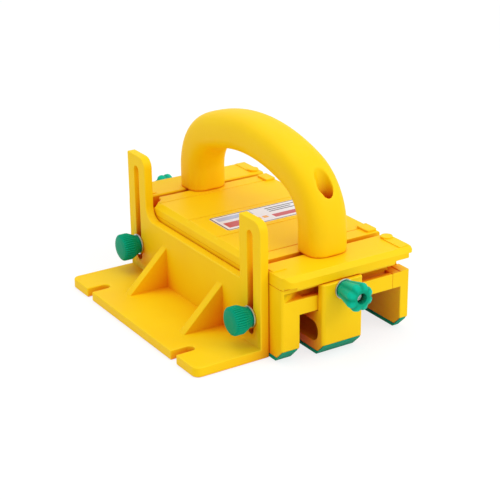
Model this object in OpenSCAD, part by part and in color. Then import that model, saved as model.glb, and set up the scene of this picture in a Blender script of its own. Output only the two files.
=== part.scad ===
// Push block for feeding boards past a table saw blade.
// It has a left leg, a movable centre leg, a thin side leg and a balance support that slides up and down.
// Frame: +X right, +Y to the rear, +Z up, origin on the table under the middle of the body.

/* [Body] */
// Width over the outer faces of the two fixed legs
body_w = 121.6; // [118:0.2:134]
// Length of the body along the feed direction
body_l = 244.4; // [236:0.2:264]
// Height of the deck above the table
top_z = 72; // [70:0.5:78]
// Thickness of the moulded walls
wall = 4; // [3:0.25:5]
// Distance of the end walls' right edges from the deck's right edge
end_wall_short = 13; // [11:0.1:14.5]
// Fillet at the end walls' right edges
end_wall_r = 2.5; // [1:0.25:4]
// Thickness of the chassis plate under the deck
plate_t = 5; // [4:0.25:6]
// Rounding of the upright edges of the left leg
leg_edge_r = 2; // [1:0.5:4]
// Height of the ribs under the chassis plate
rib_h = 5; // [3:0.25:5.5]
// Thickness of the ribs under the chassis plate
rib_t = 3; // [2:0.25:4]
// Distance of the long ribs from the handle bolts
rib_off = 16; // [14:0.5:20]
// Pitch of the ribs across the plate
rib_pitch = 42.5; // [36:0.5:46]
// Number of pockets that open the left leg from below
leg_pockets = 3; // [2:1:5]
// Small chamfer along the top edges of the deck and the crossbars
edge_chamfer = 1; // [0.5:0.1:1.5]

/* [Fixed legs] */
// Width of the left leg
left_leg_w = 16.6; // [15:0.2:20]
// Thickness of the side leg
side_leg_t = 8.3; // [7:0.1:9]
// Height of the side leg's raised ends above its flange
side_rise = 0.6; // [0.3:0.1:2]
// Gap between the side leg's raised ends and the skirt
side_rise_gap = 0.5; // [0.3:0.1:1]
// Width of the side leg's top flange
side_flange_w = 16.3; // [16:0.1:18]
// Thickness of the grip pads
pad_t = 3; // [2.5:0.25:4]
// Distance of the grip pads from the legs' right faces
pad_in = 2.2; // [0.5:0.1:3]
// Height of the grip pads' end faces
pad_tip = 1.3; // [1:0.1:2.5]
// Length of the ramps at the legs' ends
ramp_l = 9.3; // [7:0.1:11]
// Height of the ramps at the legs' ends
ramp_h = 9.2; // [7:0.1:11]
// Distance of the inner side leg screws from the middle
side_screw_inner = 33; // [26:0.5:40]
// Distance of the outer side leg screws from the middle
side_screw_outer = 79; // [70:0.5:86]

/* [Rails] */
// Height of the rails' underside above the table
rail_z = 38; // [36:0.2:38.4]
// Height of the rails
rail_h = 12.9; // [12:0.1:13.1]
// Open height of the T-slots
tslot_gap = 7.4; // [7:0.1:7.8]
// Thickness of the T-slots' lips
tslot_lip = 4.5; // [3.5:0.25:6]
// Depth of the undercut behind the lips
tslot_depth = 5.5; // [5:0.25:7]
// Reach of the undercut above and below the opening
tslot_reach = 2.2; // [1.8:0.1:2.4]
// Distance from the left face at which the T-slots reach their full depth
tslot_start = 22; // [18:0.5:24]

/* [Deck] */
// Thickness of the deck and of the crossbars
deck_t = 10.5; // [9:0.5:12]
// Distance of the deck's right edge from the right face
deck_short = 1.6; // [0.5:0.1:4]
// Chamfer along the deck's left edge
deck_chamfer = 4; // [1:0.5:6]
// Groove between the deck and the crossbars
groove_w = 6; // [4:0.5:8]
// Radius of the notches in the deck's left corners
deck_notch_r = 10; // [6:0.5:14]
// Distance of the outer relief line from the middle of the deck
relief_outer = 70.5; // [60:0.5:74]
// Distance of the inner relief line from the middle of the deck
relief_inner = 22; // [18:0.5:30]
// Width of the relief lines
relief_w = 1; // [0.5:0.1:2]
// Depth of the relief lines
relief_d = 0.6; // [0.3:0.1:1]
// Width of the raised pads on the deck's right corners
corner_pad_w = 10; // [6:0.5:14]
// Length of the raised pads on the deck's right corners
corner_pad_l = 15; // [10:0.5:20]
// Height of the raised pads on the deck's right corners
corner_pad_h = 2; // [1:0.1:3]
// Distance of those pads from the deck's ends
corner_pad_in = 2.5; // [1.5:0.1:4]
// Distance of the deck screws from the middle of the deck
deck_screw_y = 71; // [60:0.5:74]
// Distance of the outer screws from the left leg and from the side skirt
screw_in = 6.3; // [5:0.1:8]

/* [Label] */
// Length of the label across the deck
label_l = 87; // [60:1:95]
// Width of the label along the deck
label_w = 32; // [20:1:34]
// Distance of the label's left end from the left face
label_x = 18.5; // [14:0.5:22]
// Thickness of the label
label_t = 0.4; // [0.3:0.05:0.6]
// Corner radius of the label
label_r = 3; // [1:0.5:6]

/* [Crossbars] */
// Overhang of the crossbars past the body's ends
bar_out = 4.8; // [4.2:0.1:7]
// Seat of the crossbars on the body
bar_seat = 31.2; // [30:0.2:33]
// Bevel along the crossbars' outer top edge
bar_bevel = 3.5; // [1:0.25:5]
// Height of the lip under the crossbars' outer edge
bar_lip_h = 2; // [1:0.25:3]
// Thickness of the lip
bar_lip_t = 3.6; // [2:0.1:3.8]
// Distance of the lip's right end from the crossbar's right end
bar_lip_inset = 17.6; // [10:0.2:22]
// Distance of the lip's left end from the crossbar's left end
bar_lip_start = 11; // [10:0.5:16]
// Step under the crossbars' right end
bar_step = 4; // [2:0.25:6]
// Thickness of the crossbars' upper layer above that step
bar_upper_t = 4.5; // [3:0.25:6]
// Rounding of the crossbars' left outer corners
bar_left_r = 9; // [5:0.5:10]
// Cut of the crossbars' right outer corners
bar_cut = 2; // [1:0.5:4]
// Height of the raised pads on the crossbars' ends
end_pad_h = 0.8; // [0.4:0.1:1.5]
// Distance of the pads from the crossbars' ends
end_pad_inset = 1; // [0.5:0.25:3]
// Length of the right pads along the crossbars
end_pad_l = 10; // [8:0.5:14]
// Distance of the right pads from the crossbars' inner edge
end_pad_in = 10.75; // [8:0.25:14]
// Length of the left pads along the crossbars
left_pad_l = 13; // [8:0.5:15]
// Width of the left pads across the crossbars
left_pad_w = 13.5; // [8:0.5:16]
// Distance of the left pads from the crossbars' inner edge
left_pad_in = 4; // [2:0.25:6]
// Corner radius of the left pads
left_pad_r = 2; // [1:0.25:3]
// Radius of the round stop on the right end pad
stop_r = 5; // [3:0.25:6]
// Height of the round stop
stop_h = 2; // [1:0.25:4]
// Distance of the round stop's middle from the crossbars' inner edge
stop_in = 8.5; // [7.5:0.25:10]
// Distance of the middle crossbar screws from the handle bolts
bar_screw_off = 24; // [20:0.5:28]

/* [Handle] */
// Position of the handle's middle across the body
handle_x = -2.5; // [-9:0.2:3]
// Distance of the middles of the handle's legs from the body's ends
handle_in = 30.7; // [29.8:0.1:32.6]
// Width of the grip across the body
grip_w = 36.6; // [30:0.2:40]
// Thickness of the grip
grip_t = 32.6; // [28:0.2:36]
// Height of the top of the grip
grip_top = 157.9; // [150:0.5:175]
// Radius of the bends at the middle of the grip
bend_r = 43; // [36:0.5:48]
// Squareness of the grip section, where 2 is an ellipse
grip_square = 2.7; // [2:0.1:4]
// Diameter of the counterbores for the handle bolts
counterbore_d = 13; // [12.6:0.2:16]
// Thickness of the handle under the bolt heads
handle_seat = 20; // [12:0.5:26]
// Distance of the handle bolts from the middles of the handle's legs, towards the ends
handle_bolt_off = 2.2; // [0:0.1:3]
// Radius of the bosses around the handle bolts
handle_boss_r = 8; // [7:0.25:8.5]

/* [Centre leg] */
// Width of the centre leg
center_w = 37.8; // [34:0.2:42]
// Width of the tunnel between the left leg and the centre leg
left_tunnel = 16.1; // [12:0.1:20]
// Thickness of the centre leg's end plates
center_plate_t = 7.4; // [6:0.2:9]
// Gap between the centre leg's end plates and the crossbars' seat
center_plate_gap = 0.6; // [0.5:0.1:2]
// Thickness of the centre leg's side walls and floor
center_wall = 5; // [4:0.25:6]
// Rounding of the centre leg's upright edges
center_edge_r = 3; // [1:0.5:4]
// Number of windows in each side of the centre leg
window_count = 3; // [2:1:4]
// Height of the rail below the windows
window_sill = 7.5; // [6.5:0.25:8]
// Height of the bar above the windows
window_head = 10.5; // [8:0.25:11]
// Corner radius of the windows
window_r = 7.5; // [5:0.25:7.5]
// Width of the posts between the windows
window_post = 9; // [6:0.5:14]

/* [Balance support] */
// Width of the balance support from its inner face
support_w = 66; // [58:1:74]
// Length of the balance support
support_l = 210.4; // [204:0.2:214]
// Thickness of the upright wall
support_t = 7.6; // [6:0.2:9]
// Thickness of the base plate
support_plate_t = 8.2; // [6:0.2:10]
// Height of the wall between the uprights
support_wall_h = 58.4; // [52:0.2:62]
// Width of the uprights
upright_w = 30; // [26:0.5:34]
// Height of the uprights
upright_h = 112; // [106:0.5:120]
// Rounding of the uprights' front top corners
upright_r = 9; // [4:0.5:12]
// Fillet between the wall and the rear upright
upright_fillet = 12; // [6:0.5:16]
// Width of the slots in the uprights
upright_slot_w = 8.2; // [7.4:0.1:9.4]
// Lower end of the slots in the uprights
upright_slot_z0 = 16.4; // [14:0.2:18]
// Upper end of the slots in the uprights
upright_slot_z1 = 102.4; // [96:0.2:104]
// Length of the gussets along the base plate
gusset_l = 36.2; // [28:0.2:42]
// Height of the gussets' upper ends
gusset_top = 43.5; // [36:0.5:48]
// Thickness of the gussets
gusset_t = 7.6; // [5:0.2:9]
// Distance of the gussets' outer faces from the middle
gusset_y = 49; // [40:0.5:56]
// Width of the slots in the base plate's outer edge
notch_w = 8.5; // [6:0.25:10]
// Depth of the slots in the base plate's outer edge
notch_l = 18.5; // [12:0.5:22]
// Distance of those slots from the middle
notch_y = 71.4; // [64:0.2:80]
// Rounding of the base plate's outer corners
support_corner = 6; // [3:0.5:10]

/* [Knobs] */
// Length of the clamp knobs
clamp_knob_l = 22.3; // [20:0.1:26]
// Radius of the clamp knobs at the outer end
clamp_knob_r = 11.8; // [10.6:0.2:13]
// Radius of the clamp knobs at the neck
clamp_neck_r = 7.4; // [7.2:0.1:8.8]
// Rounding of the clamp knobs' outer end
clamp_round = 4; // [1.5:0.1:4.4]
// Number of flutes along the clamp knobs
flute_count = 8; // [6:1:10]
// Radius of the flutes
flute_r = 3.4; // [2.6:0.1:4]
// Depth of the flutes
flute_d = 1; // [0.5:0.1:1.5]
// Radius of the open end of the clamp knobs' bore
clamp_mouth_r = 4.3; // [3.8:0.1:4.8]
// Distance of the T-bolts' ends from the clamp knobs' ends
bolt_recess = 5.5; // [2:0.25:7]
// Length of the bushes in the clamp knobs
bush_l = 14; // [11:0.1:16]
// Wall of the bushes in the clamp knobs
bush_wall = 2; // [1.5:0.1:3]
// Length of the support knobs
support_knob_l = 17; // [14:0.5:20]
// Radius of the support knobs at the outer end
support_knob_r = 11.6; // [10:0.2:13]
// Radius of the support knobs at the neck
support_neck_r = 7.6; // [6:0.2:9]
// Length of the support knobs' tapered part
support_taper_l = 8.5; // [6:0.25:11]
// Height of the dome on the support knobs' faces
support_dome = 1.5; // [0.8:0.1:2.5]
// Radius of the flat on the support knobs' faces
support_face_r = 5.8; // [4:0.2:8]
// Number of ridges around the support knobs
ridge_count = 40; // [24:2:48]
// Radius of the grooves between the ridges
ridge_groove_r = 0.6; // [0.4:0.05:0.7]
// Height of the support knobs' axis above the table
support_knob_z = 31; // [27:0.5:33]
// Distance of the support knobs from the ends of the balance support
support_knob_in = 15; // [13:0.2:17]

/* [Hardware] */
// Diameter of the bolts and studs
bolt_d = 6.35; // [6:0.05:6.5]
// Width of the T-bolt heads along the slot
t_head_w = 16; // [12:0.5:20]
// Thickness of the T-bolt heads
t_head_t = 4.4; // [3.4:0.1:4.6]
// Thickness of the washers
washer_t = 1.5; // [1:0.1:2]
// Radius of the clamp washers
clamp_washer_r = 8.25; // [8:0.25:10]
// Radius of the support washers
support_washer_r = 9; // [8:0.25:10]
// Diameter of the handle bolt heads
bolt_head_d = 9.5; // [9:0.1:10]
// Height of the handle bolt heads
bolt_head_h = 6.35; // [5:0.05:7]
// Radius of the washers under the handle bolts
handle_washer_r = 6; // [5.4:0.1:6.1]
// Width across the flats of the nuts
nut_af = 11.1; // [10:0.1:11.4]
// Thickness of the nuts
nut_t = 5.5; // [4:0.1:6]
// Length of the threaded inserts in the left leg
insert_l = 12; // [9:0.5:14]
// Outer radius of the threaded inserts
insert_r = 4.75; // [4.4:0.05:5.2]
// Length of the studs inside the support knobs
stud_grip = 8.5; // [6:0.25:11]
// Distance of the studs' tips from the inserts' inner ends
stud_short = 2; // [1:0.25:4]
// Distance of the nuts from the mouth of their pockets
nut_recess = 1; // [0:0.25:2]
// Radius of the screws that hold the mouldings together
screw_r = 1.6; // [1.4:0.05:1.8]
// Radius of the screw heads
screw_head_r = 3.1; // [2.8:0.1:3.2]
// Height of the screw heads
screw_head_h = 2.4; // [2:0.1:3]
// Material left above the screws' tips
screw_tip_gap = 2; // [1.5:0.1:3]

/* [Clearances] */
// Running gap between pieces that slide past each other
run_gap = 0.3; // [0.2:0.05:0.4]
// Gap between the left leg and the balance support
support_gap = 0.45; // [0.3:0.05:0.6]
// Radial play of a bolt in a drilled hole
hole_play = 0.4; // [0.3:0.05:0.6]
// Radial play of a screw thread
thread_play = 0.05; // [0.03:0.01:0.09]
// Gap around pieces that are set into a pocket
seat_gap = 0.1; // [0.05:0.05:0.2]

/* [Hidden] */
$fn = 64;
body_yellow = [0.98, 0.78, 0.08];
knob_green = [0.05, 0.60, 0.42];
pad_green = [0.03, 0.42, 0.30];
steel = [0.72, 0.73, 0.75];
brass = [0.80, 0.62, 0.28];
label_white = [0.94, 0.94, 0.95];
// Length by which a cutting tool runs past a face
over = 1;
// Points around the grip's section
grip_steps = 40;
x_left = -body_w / 2;
x_right = body_w / 2;
y_end = body_l / 2;
// Levels from the table up
rail_top = rail_z + rail_h;
clamp_z = rail_top + tslot_gap / 2;
seat_z = top_z - deck_t;
plate_z = seat_z - plate_t;
// Fixed legs and the end walls
left_leg_x = x_left + left_leg_w;
side_flange_x = x_right - side_flange_w;
side_leg_x = x_right - side_leg_t;
tslot_in = tslot_lip + tslot_depth;
end_wall_d = tslot_in + wall;
end_wall_y = y_end - end_wall_d;
deck_x = x_right - deck_short;
end_wall_x = deck_x - end_wall_short;
skirt_x = side_flange_x;
// Inside faces of the crossbars, ends of the deck
bar_in_y = y_end - bar_seat;
bar_out_y = y_end + bar_out;
deck_y = bar_in_y - groove_w;
bar_x = x_right;
bar_under_z = seat_z + bar_lip_h;
// Ramps at the legs' ends, where the legs start above the pads
ramp_rise = ramp_h / ramp_l;
ramp_top = ramp_h + pad_tip;
ramp_foot = (ramp_top - pad_t) / ramp_rise;
// Centre leg at rest, with the clamp bolt on its middle
center_x0 = left_leg_x + left_tunnel;
center_x1 = center_x0 + center_w;
center_x = center_x0 + center_w / 2;
center_top = rail_z - run_gap;
center_plate_top = seat_z - center_plate_gap;
plate_in_y = y_end + run_gap;
plate_out_y = plate_in_y + center_plate_t;
clamp_washer_y = plate_out_y + washer_t;
clamp_knob_y = clamp_washer_y + run_gap;
clamp_knob_end_y = clamp_knob_y + clamp_knob_l;
// The clamp knob widens from its neck to a rounded outer end
clamp_wide_l = clamp_knob_l - clamp_round;
clamp_slope = atan((clamp_knob_r - clamp_neck_r) / clamp_wide_l);
clamp_face_r = clamp_knob_r - clamp_round;
// Share of the rounding that its middle edge cuts off
round_cut = 0.3;
// The T-bolt stops short of the knob's mouth
t_bolt_end_y = clamp_knob_end_y - bolt_recess;
bush_r = bolt_d / 2 + bush_wall;
// Handle: vertical legs, two bends and a flatter crown that meet smoothly.
// The crown meets the bends on the slope of a 44, 117, 125 triangle, and its radius is a whole number
// of millimetres past theirs, so that the end faces match exactly.
crown_slope = [44, 117];
crown_side = 125;
// Reach of the wedges that trim the crown and the bends, in lengths of that triangle
wedge_reach = 3;
crown_r = bend_r + round((y_end - handle_in - bend_r) * crown_side / crown_slope[0]);
crown_z = grip_top - grip_t / 2 - crown_r;
bend_y = (crown_r - bend_r) * crown_slope[0] / crown_side;
bend_z = crown_z + (crown_r - bend_r) * crown_slope[1] / crown_side;
handle_leg_y = bend_y + bend_r;
handle_bolt_y = handle_leg_y + handle_bolt_off;
handle_bolt_z = top_z + handle_seat;
handle_boss_z = rail_top;
nut_top_z = handle_boss_z + nut_t + nut_recess;
// Balance support faces and the knobs on them
support_in_x = x_left - support_gap;
support_out_x = support_in_x - support_t;
support_edge_x = support_in_x - support_w;
support_y = support_l / 2;
support_knob_y = support_y - support_knob_in;
support_washer_x = support_out_x - run_gap - washer_t;
insert_x = x_left + insert_l;
stud_out_x = support_washer_x - stud_grip;
bolt_r = bolt_d / 2;
hole_r = bolt_r + hole_play;
thread_r = bolt_r + thread_play;
screw_hole_r = screw_r + thread_play;
screw_pass_r = screw_r + hole_play;
// Screws up through the chassis plate into the crossbars and the deck
screw_left_x = left_leg_x + screw_in;
screw_right_x = skirt_x - screw_in;
bar_screw_x = [screw_left_x, handle_x + bar_screw_off, screw_right_x];
bar_screw_y = end_wall_y - screw_head_r - run_gap;
deck_screw_x = [screw_left_x, screw_right_x];
// Screws up through the side leg's flange into the skirt
side_screw_x = (side_flange_x + side_leg_x) / 2;
side_screw_z = rail_z + rail_h / 2;
side_screw_y = [side_screw_inner, side_screw_outer];
// Pockets in the left leg and the ribs under the plate
leg_pocket_span = 2 * (support_knob_y - insert_r - wall);
leg_pocket_l = (leg_pocket_span - (leg_pockets - 1) * wall) / leg_pockets;
rib_z = max(plate_z - rib_h, rail_top);
rib_x = [handle_x - rib_off, handle_x + rib_off];
rib_y = [-rib_pitch, 0, rib_pitch];

// A box between two corners
module block(low, high) {
    translate(low) cube([high[0] - low[0], high[1] - low[1], high[2] - low[2]]);
}

// Stands a shape made at the rear end on both ends
module both_ends() {
    children();
    mirror([0, 1, 0]) children();
}

// Extrudes an outline drawn in Y and Z along X
module along_x(x0, x1) {
    translate([x0, 0, 0]) rotate([90, 0, 90]) linear_extrude(x1 - x0) children();
}

// Extrudes an outline drawn in X and Z along Y
module along_y(y0, y1) {
    translate([0, y1, 0]) rotate([90, 0, 0]) linear_extrude(y1 - y0) children();
}

// Rounded rectangle between two corners
module round_rect(low, high, r) {
    translate([low[0] + r, low[1]]) square([high[0] - low[0] - 2 * r, high[1] - low[1]]);
    translate([low[0], low[1] + r]) square([high[0] - low[0], high[1] - low[1] - 2 * r]);
    for (x = [low[0] + r, high[0] - r], y = [low[1] + r, high[1] - r]) translate([x, y]) circle(r);
}

// Hollow fill of an inside corner that opens to the right and up
module fillet(r) {
    difference() {
        square(r);
        translate([r, r]) circle(r);
    }
}

// Cylinder along Y
module rod_y(x, z, y0, y1, r) {
    translate([x, y1, z]) rotate([90, 0, 0]) cylinder(h = y1 - y0, r = r);
}

// Cylinder along X
module rod_x(y, z, x0, x1, r) {
    translate([x0, y, z]) rotate([0, 90, 0]) cylinder(h = x1 - x0, r = r);
}

// Upright cylinder
module post(x, y, z0, z1, r) {
    translate([x, y, z0]) cylinder(h = z1 - z0, r = r);
}

// Grip pad under a leg that ends at y, with a ramp at each end
module pad(x0, x1, y) {
    color(pad_green) along_x(x0, x1 - pad_in) polygon([
        [ramp_l - y, 0], [y - ramp_l, 0], [y, ramp_h], [y, ramp_top],
        [y - ramp_foot, pad_t], [ramp_foot - y, pad_t], [-y, ramp_top], [-y, ramp_h]
    ]);
}

// Space that the ramps take from a leg that ends at y
module ramp_cut(x0, x1, y) {
    both_ends() along_x(x0 - over, x1 + over) polygon([
        [y - ramp_foot, 0], [y + over, 0], [y + over, ramp_top + over * ramp_rise], [y - ramp_foot, pad_t]
    ]);
}

// Screw with its head under one level and its tip just below the next
module screw(x, y, z, top) {
    post(x, y, z - screw_head_h, z, screw_head_r);
    post(x, y, z - over, top - screw_tip_gap, screw_r);
}

// Left leg outline with rounded outer corners
module left_leg_outline() {
    translate([x_left + leg_edge_r, -y_end]) square([left_leg_w - leg_edge_r, body_l]);
    translate([x_left, -y_end + leg_edge_r]) square([left_leg_w, body_l - 2 * leg_edge_r]);
    for (s = [-1, 1]) translate([x_left + leg_edge_r, s * (y_end - leg_edge_r)]) circle(leg_edge_r);
}

// T-slot at the rear end: the opening between the lips, the undercut behind them and a slanted left end
module t_slot() {
    x0 = x_left + tslot_start;
    z1 = rail_top + tslot_gap;
    block([x0, y_end - tslot_lip, rail_top], [x_right, y_end + over, z1]);
    block([x0, y_end - tslot_in, rail_top - tslot_reach], [x_right, y_end - tslot_lip, z1 + tslot_reach]);
    translate([0, 0, rail_top]) linear_extrude(tslot_gap) polygon([
        [x_left + leg_edge_r, y_end], [x0 + over, y_end - tslot_in], [x0 + over, y_end + over],
        [x_left + leg_edge_r, y_end + over]
    ]);
}

// End wall at the rear with the rail that the centre leg is clamped to
module end_wall() {
    block([left_leg_x - over, end_wall_y, rail_z], [side_flange_x, y_end, rail_top]);
    block([left_leg_x - over, end_wall_y, rail_top], [end_wall_x, y_end, seat_z]);
    along_y(end_wall_y, y_end) {
        translate([end_wall_x, rail_top]) fillet(end_wall_r);
        translate([end_wall_x, seat_z]) mirror([0, 1]) fillet(end_wall_r);
    }
}

module main_chassis() {
    color(body_yellow) difference() {
        union() {
            translate([0, 0, pad_t]) linear_extrude(seat_z - pad_t) left_leg_outline();
            block([left_leg_x - over, -y_end, plate_z], [end_wall_x, y_end, seat_z]);
            both_ends() end_wall();
            block([skirt_x, -end_wall_y, rail_top], [deck_x, end_wall_y, seat_z]);
            for (x = rib_x) {
                block([x - rib_t / 2, -end_wall_y, rib_z], [x + rib_t / 2, end_wall_y, plate_z]);
            }
            for (y = rib_y) block(
                [left_leg_x - over, y - rib_t / 2, rib_z], [skirt_x + over, y + rib_t / 2, plate_z]
            );
            both_ends() post(handle_x, handle_bolt_y, handle_boss_z, seat_z, handle_boss_r);
        }
        both_ends() t_slot();
        ramp_cut(x_left, left_leg_x, y_end);
        for (i = [0 : leg_pockets - 1]) {
            y = i * (leg_pocket_l + wall) - leg_pocket_span / 2;
            block([x_left + wall, y, pad_t - over], [left_leg_x - wall, y + leg_pocket_l, plate_z]);
        }
        both_ends() rod_x(support_knob_y, support_knob_z, x_left - over, insert_x, insert_r);
        both_ends() post(handle_x, handle_bolt_y, handle_boss_z - over, seat_z + over, hole_r);
        both_ends() nut(nut_af / 2 + seat_gap, handle_boss_z - over, nut_top_z);
        both_ends() for (x = bar_screw_x) post(x, bar_screw_y, plate_z - over, seat_z + over, screw_pass_r);
        both_ends() for (x = deck_screw_x) post(x, deck_screw_y, plate_z - over, seat_z + over, screw_pass_r);
        for (s = [-1, 1], y = side_screw_y) {
            post(side_screw_x, s * y, rail_top - over, seat_z - screw_tip_gap + thread_play, screw_hole_r);
        }
    }
}

// Hexagonal nut around the handle bolt at the rear, given its half width across the flats
module nut(half_af, z0, z1) {
    translate([handle_x, handle_bolt_y, z0]) rotate(30) cylinder(h = z1 - z0, r = half_af / cos(30), $fn = 6);
}

module deck_cover() {
    pad_x = deck_x - edge_chamfer;
    pad_y = deck_y - corner_pad_in;
    color(body_yellow) {
        difference() {
            along_y(-deck_y, deck_y) polygon([
                [x_left, seat_z], [deck_x, seat_z],
                [deck_x, top_z - edge_chamfer], [deck_x - edge_chamfer, top_z],
                [x_left + deck_chamfer, top_z], [x_left, top_z - deck_chamfer]
            ]);
            both_ends() post(x_left, deck_y, seat_z - over, top_z + over, deck_notch_r);
            both_ends() for (y = [relief_inner, relief_outer]) {
                block([x_left - over, y, top_z - relief_d], [deck_x + over, y + relief_w, top_z + over]);
            }
            translate([0, 0, top_z - label_t]) linear_extrude(label_t + over) label_outline(seat_gap);
            both_ends() for (x = deck_screw_x) {
                post(x, deck_screw_y, seat_z - over, top_z - screw_tip_gap + thread_play, screw_hole_r);
            }
        }
        both_ends() block(
            [pad_x - corner_pad_w, pad_y - corner_pad_l, top_z - relief_d - over],
            [pad_x, pad_y, top_z + corner_pad_h]
        );
    }
}

// Label outline, grown by a gap
module label_outline(gap) {
    x0 = x_left + label_x;
    round_rect([x0 - gap, -label_w / 2 - gap], [x0 + label_l + gap, label_w / 2 + gap], label_r + gap);
}

module deck_label() {
    color(label_white) translate([0, 0, top_z - label_t]) linear_extrude(label_t) label_outline(0);
}

// Crossbar at the rear end: bevelled outer edge, overhang with a lip, step under the right end
module crossbar() {
    color(body_yellow) difference() {
        union() {
            intersection() {
                along_x(x_left, bar_x) polygon([
                    [bar_in_y, seat_z], [bar_in_y, top_z - edge_chamfer], [bar_in_y + edge_chamfer, top_z],
                    [bar_out_y - bar_bevel, top_z], [bar_out_y, top_z - bar_bevel], [bar_out_y, bar_under_z],
                    [y_end, bar_under_z], [y_end, seat_z]
                ]);
                translate([0, 0, seat_z - over]) linear_extrude(deck_t + 2 * over) {
                    polygon([
                        [x_left, bar_in_y - over], [bar_x, bar_in_y - over],
                        [bar_x, bar_out_y - bar_cut], [bar_x - bar_cut, bar_out_y],
                        [x_left + bar_left_r, bar_out_y], [x_left + bar_left_r, bar_out_y - bar_left_r],
                        [x_left, bar_out_y - bar_left_r]
                    ]);
                    translate([x_left + bar_left_r, bar_out_y - bar_left_r]) circle(bar_left_r);
                }
            }
            block(
                [x_left + bar_lip_start, bar_out_y - bar_lip_t, seat_z],
                [bar_x - bar_lip_inset, bar_out_y, bar_under_z]
            );
            post(handle_x, handle_bolt_y, seat_z, top_z, handle_boss_r);
            block(
                [bar_x - end_pad_inset - end_pad_l, bar_in_y + end_pad_in, top_z - over],
                [bar_x - end_pad_inset, bar_out_y - bar_bevel - end_pad_inset, top_z + end_pad_h]
            );
            translate([0, 0, top_z - over]) linear_extrude(over + end_pad_h) round_rect(
                [x_left + end_pad_inset, bar_in_y + left_pad_in],
                [x_left + end_pad_inset + left_pad_l, bar_in_y + left_pad_in + left_pad_w], left_pad_r
            );
            post(
                bar_x - end_pad_inset - stop_r, bar_in_y + stop_in,
                top_z - over, top_z + stop_h, stop_r
            );
        }
        block(
            [bar_x - bar_step, bar_in_y - over, seat_z - over],
            [bar_x + over, bar_out_y + over, top_z - bar_upper_t]
        );
        post(handle_x, handle_bolt_y, seat_z - over, top_z + over, hole_r);
        for (x = bar_screw_x) {
            post(x, bar_screw_y, seat_z - over, top_z - screw_tip_gap + thread_play, screw_hole_r);
        }
    }
}

module front_crossbar() {
    mirror([0, 1, 0]) crossbar();
}

module rear_crossbar() {
    crossbar();
}

module side_leg() {
    color(body_yellow) difference() {
        union() {
            block([side_leg_x, -y_end, pad_t], [x_right, y_end, rail_top]);
            block([side_flange_x, -y_end, rail_z], [x_right, y_end, rail_top]);
            both_ends() block(
                [side_leg_x, end_wall_y + side_rise_gap, rail_z], [x_right, y_end, rail_top + side_rise]
            );
        }
        ramp_cut(side_leg_x, x_right, y_end);
        for (s = [-1, 1], y = side_screw_y) {
            post(side_screw_x, s * y, rail_z - over, rail_top + over, screw_pass_r);
            post(side_screw_x, s * y, rail_z - over, side_screw_z, screw_head_r + seat_gap);
        }
    }
}

module left_pad() {
    pad(x_left, left_leg_x, y_end);
}

module right_pad() {
    pad(side_leg_x, x_right, y_end);
}

module crossbar_screws() {
    color(steel) both_ends() for (x = bar_screw_x) screw(x, bar_screw_y, plate_z, top_z);
}

module deck_screws() {
    color(steel) both_ends() for (x = deck_screw_x) screw(x, deck_screw_y, plate_z, top_z);
}

module side_leg_screws() {
    color(steel) for (s = [-1, 1], y = side_screw_y) screw(side_screw_x, s * y, side_screw_z, seat_z);
}

module support_inserts() {
    color(brass) both_ends() difference() {
        rod_x(support_knob_y, support_knob_z, x_left, insert_x, insert_r);
        rod_x(support_knob_y, support_knob_z, x_left - over, insert_x + over, thread_r);
    }
}

// Section of the grip, a rounded square drawn around its middle
module grip_section() {
    power = 2 / grip_square;
    polygon([for (i = [0 : grip_steps - 1])
        let (a = 360 * i / grip_steps, c = cos(a), s = sin(a))
        [grip_t / 2 * sign(c) * pow(abs(c), power), grip_w / 2 * sign(s) * pow(abs(s), power)]
    ]);
}

// Stretch of the grip that turns about a point in the Y and Z plane, inside a wedge from that point
module grip_bend(y, z, r, wedge) {
    translate([handle_x, y, z]) intersection() {
        rotate([90, 0, 90]) rotate_extrude($fn = 4 * $fn) translate([r, 0]) grip_section();
        along_x(-grip_w, grip_w) polygon(wedge);
    }
}

module handle() {
    far = wedge_reach * crown_slope;
    color(body_yellow) difference() {
        union() {
            grip_bend(0, crown_z, crown_r, [[0, 0], far, [-far[0], far[1]]]);
            both_ends() grip_bend(bend_y, bend_z, bend_r, [[0, 0], [far[1], 0], [far[1], far[1]], far]);
            both_ends() translate([handle_x, handle_leg_y, top_z]) linear_extrude(bend_z - top_z)
                rotate(90) grip_section();
        }
        both_ends() post(handle_x, handle_bolt_y, handle_bolt_z, grip_top + over, counterbore_d / 2);
        both_ends() post(handle_x, handle_bolt_y, top_z - over, handle_bolt_z + over, hole_r);
    }
}

module handle_bolts() {
    color(steel) both_ends() {
        z = handle_bolt_z + washer_t;
        post(handle_x, handle_bolt_y, z, z + bolt_head_h, bolt_head_d / 2);
        post(handle_x, handle_bolt_y, handle_boss_z, z + over, bolt_r);
    }
}

module handle_washers() {
    color(steel) both_ends() difference() {
        z = handle_bolt_z;
        post(handle_x, handle_bolt_y, z, z + washer_t, handle_washer_r);
        post(handle_x, handle_bolt_y, z - over, z + washer_t + over, bolt_r + seat_gap);
    }
}

module handle_nuts() {
    color(steel) both_ends() difference() {
        nut(nut_af / 2, nut_top_z - nut_t, nut_top_z);
        post(handle_x, handle_bolt_y, nut_top_z - nut_t - over, nut_top_z + over, thread_r);
    }
}

// End plate of the centre leg at the rear, clamped against the rail
module center_plate() {
    r = center_edge_r;
    translate([0, 0, pad_t]) linear_extrude(center_plate_top - pad_t) {
        translate([center_x0, plate_in_y]) square([center_w, center_plate_t - r]);
        translate([center_x0 + r, plate_in_y]) square([center_w - 2 * r, center_plate_t]);
        for (x = [center_x0 + r, center_x1 - r]) translate([x, plate_out_y - r]) circle(r);
    }
}

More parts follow.
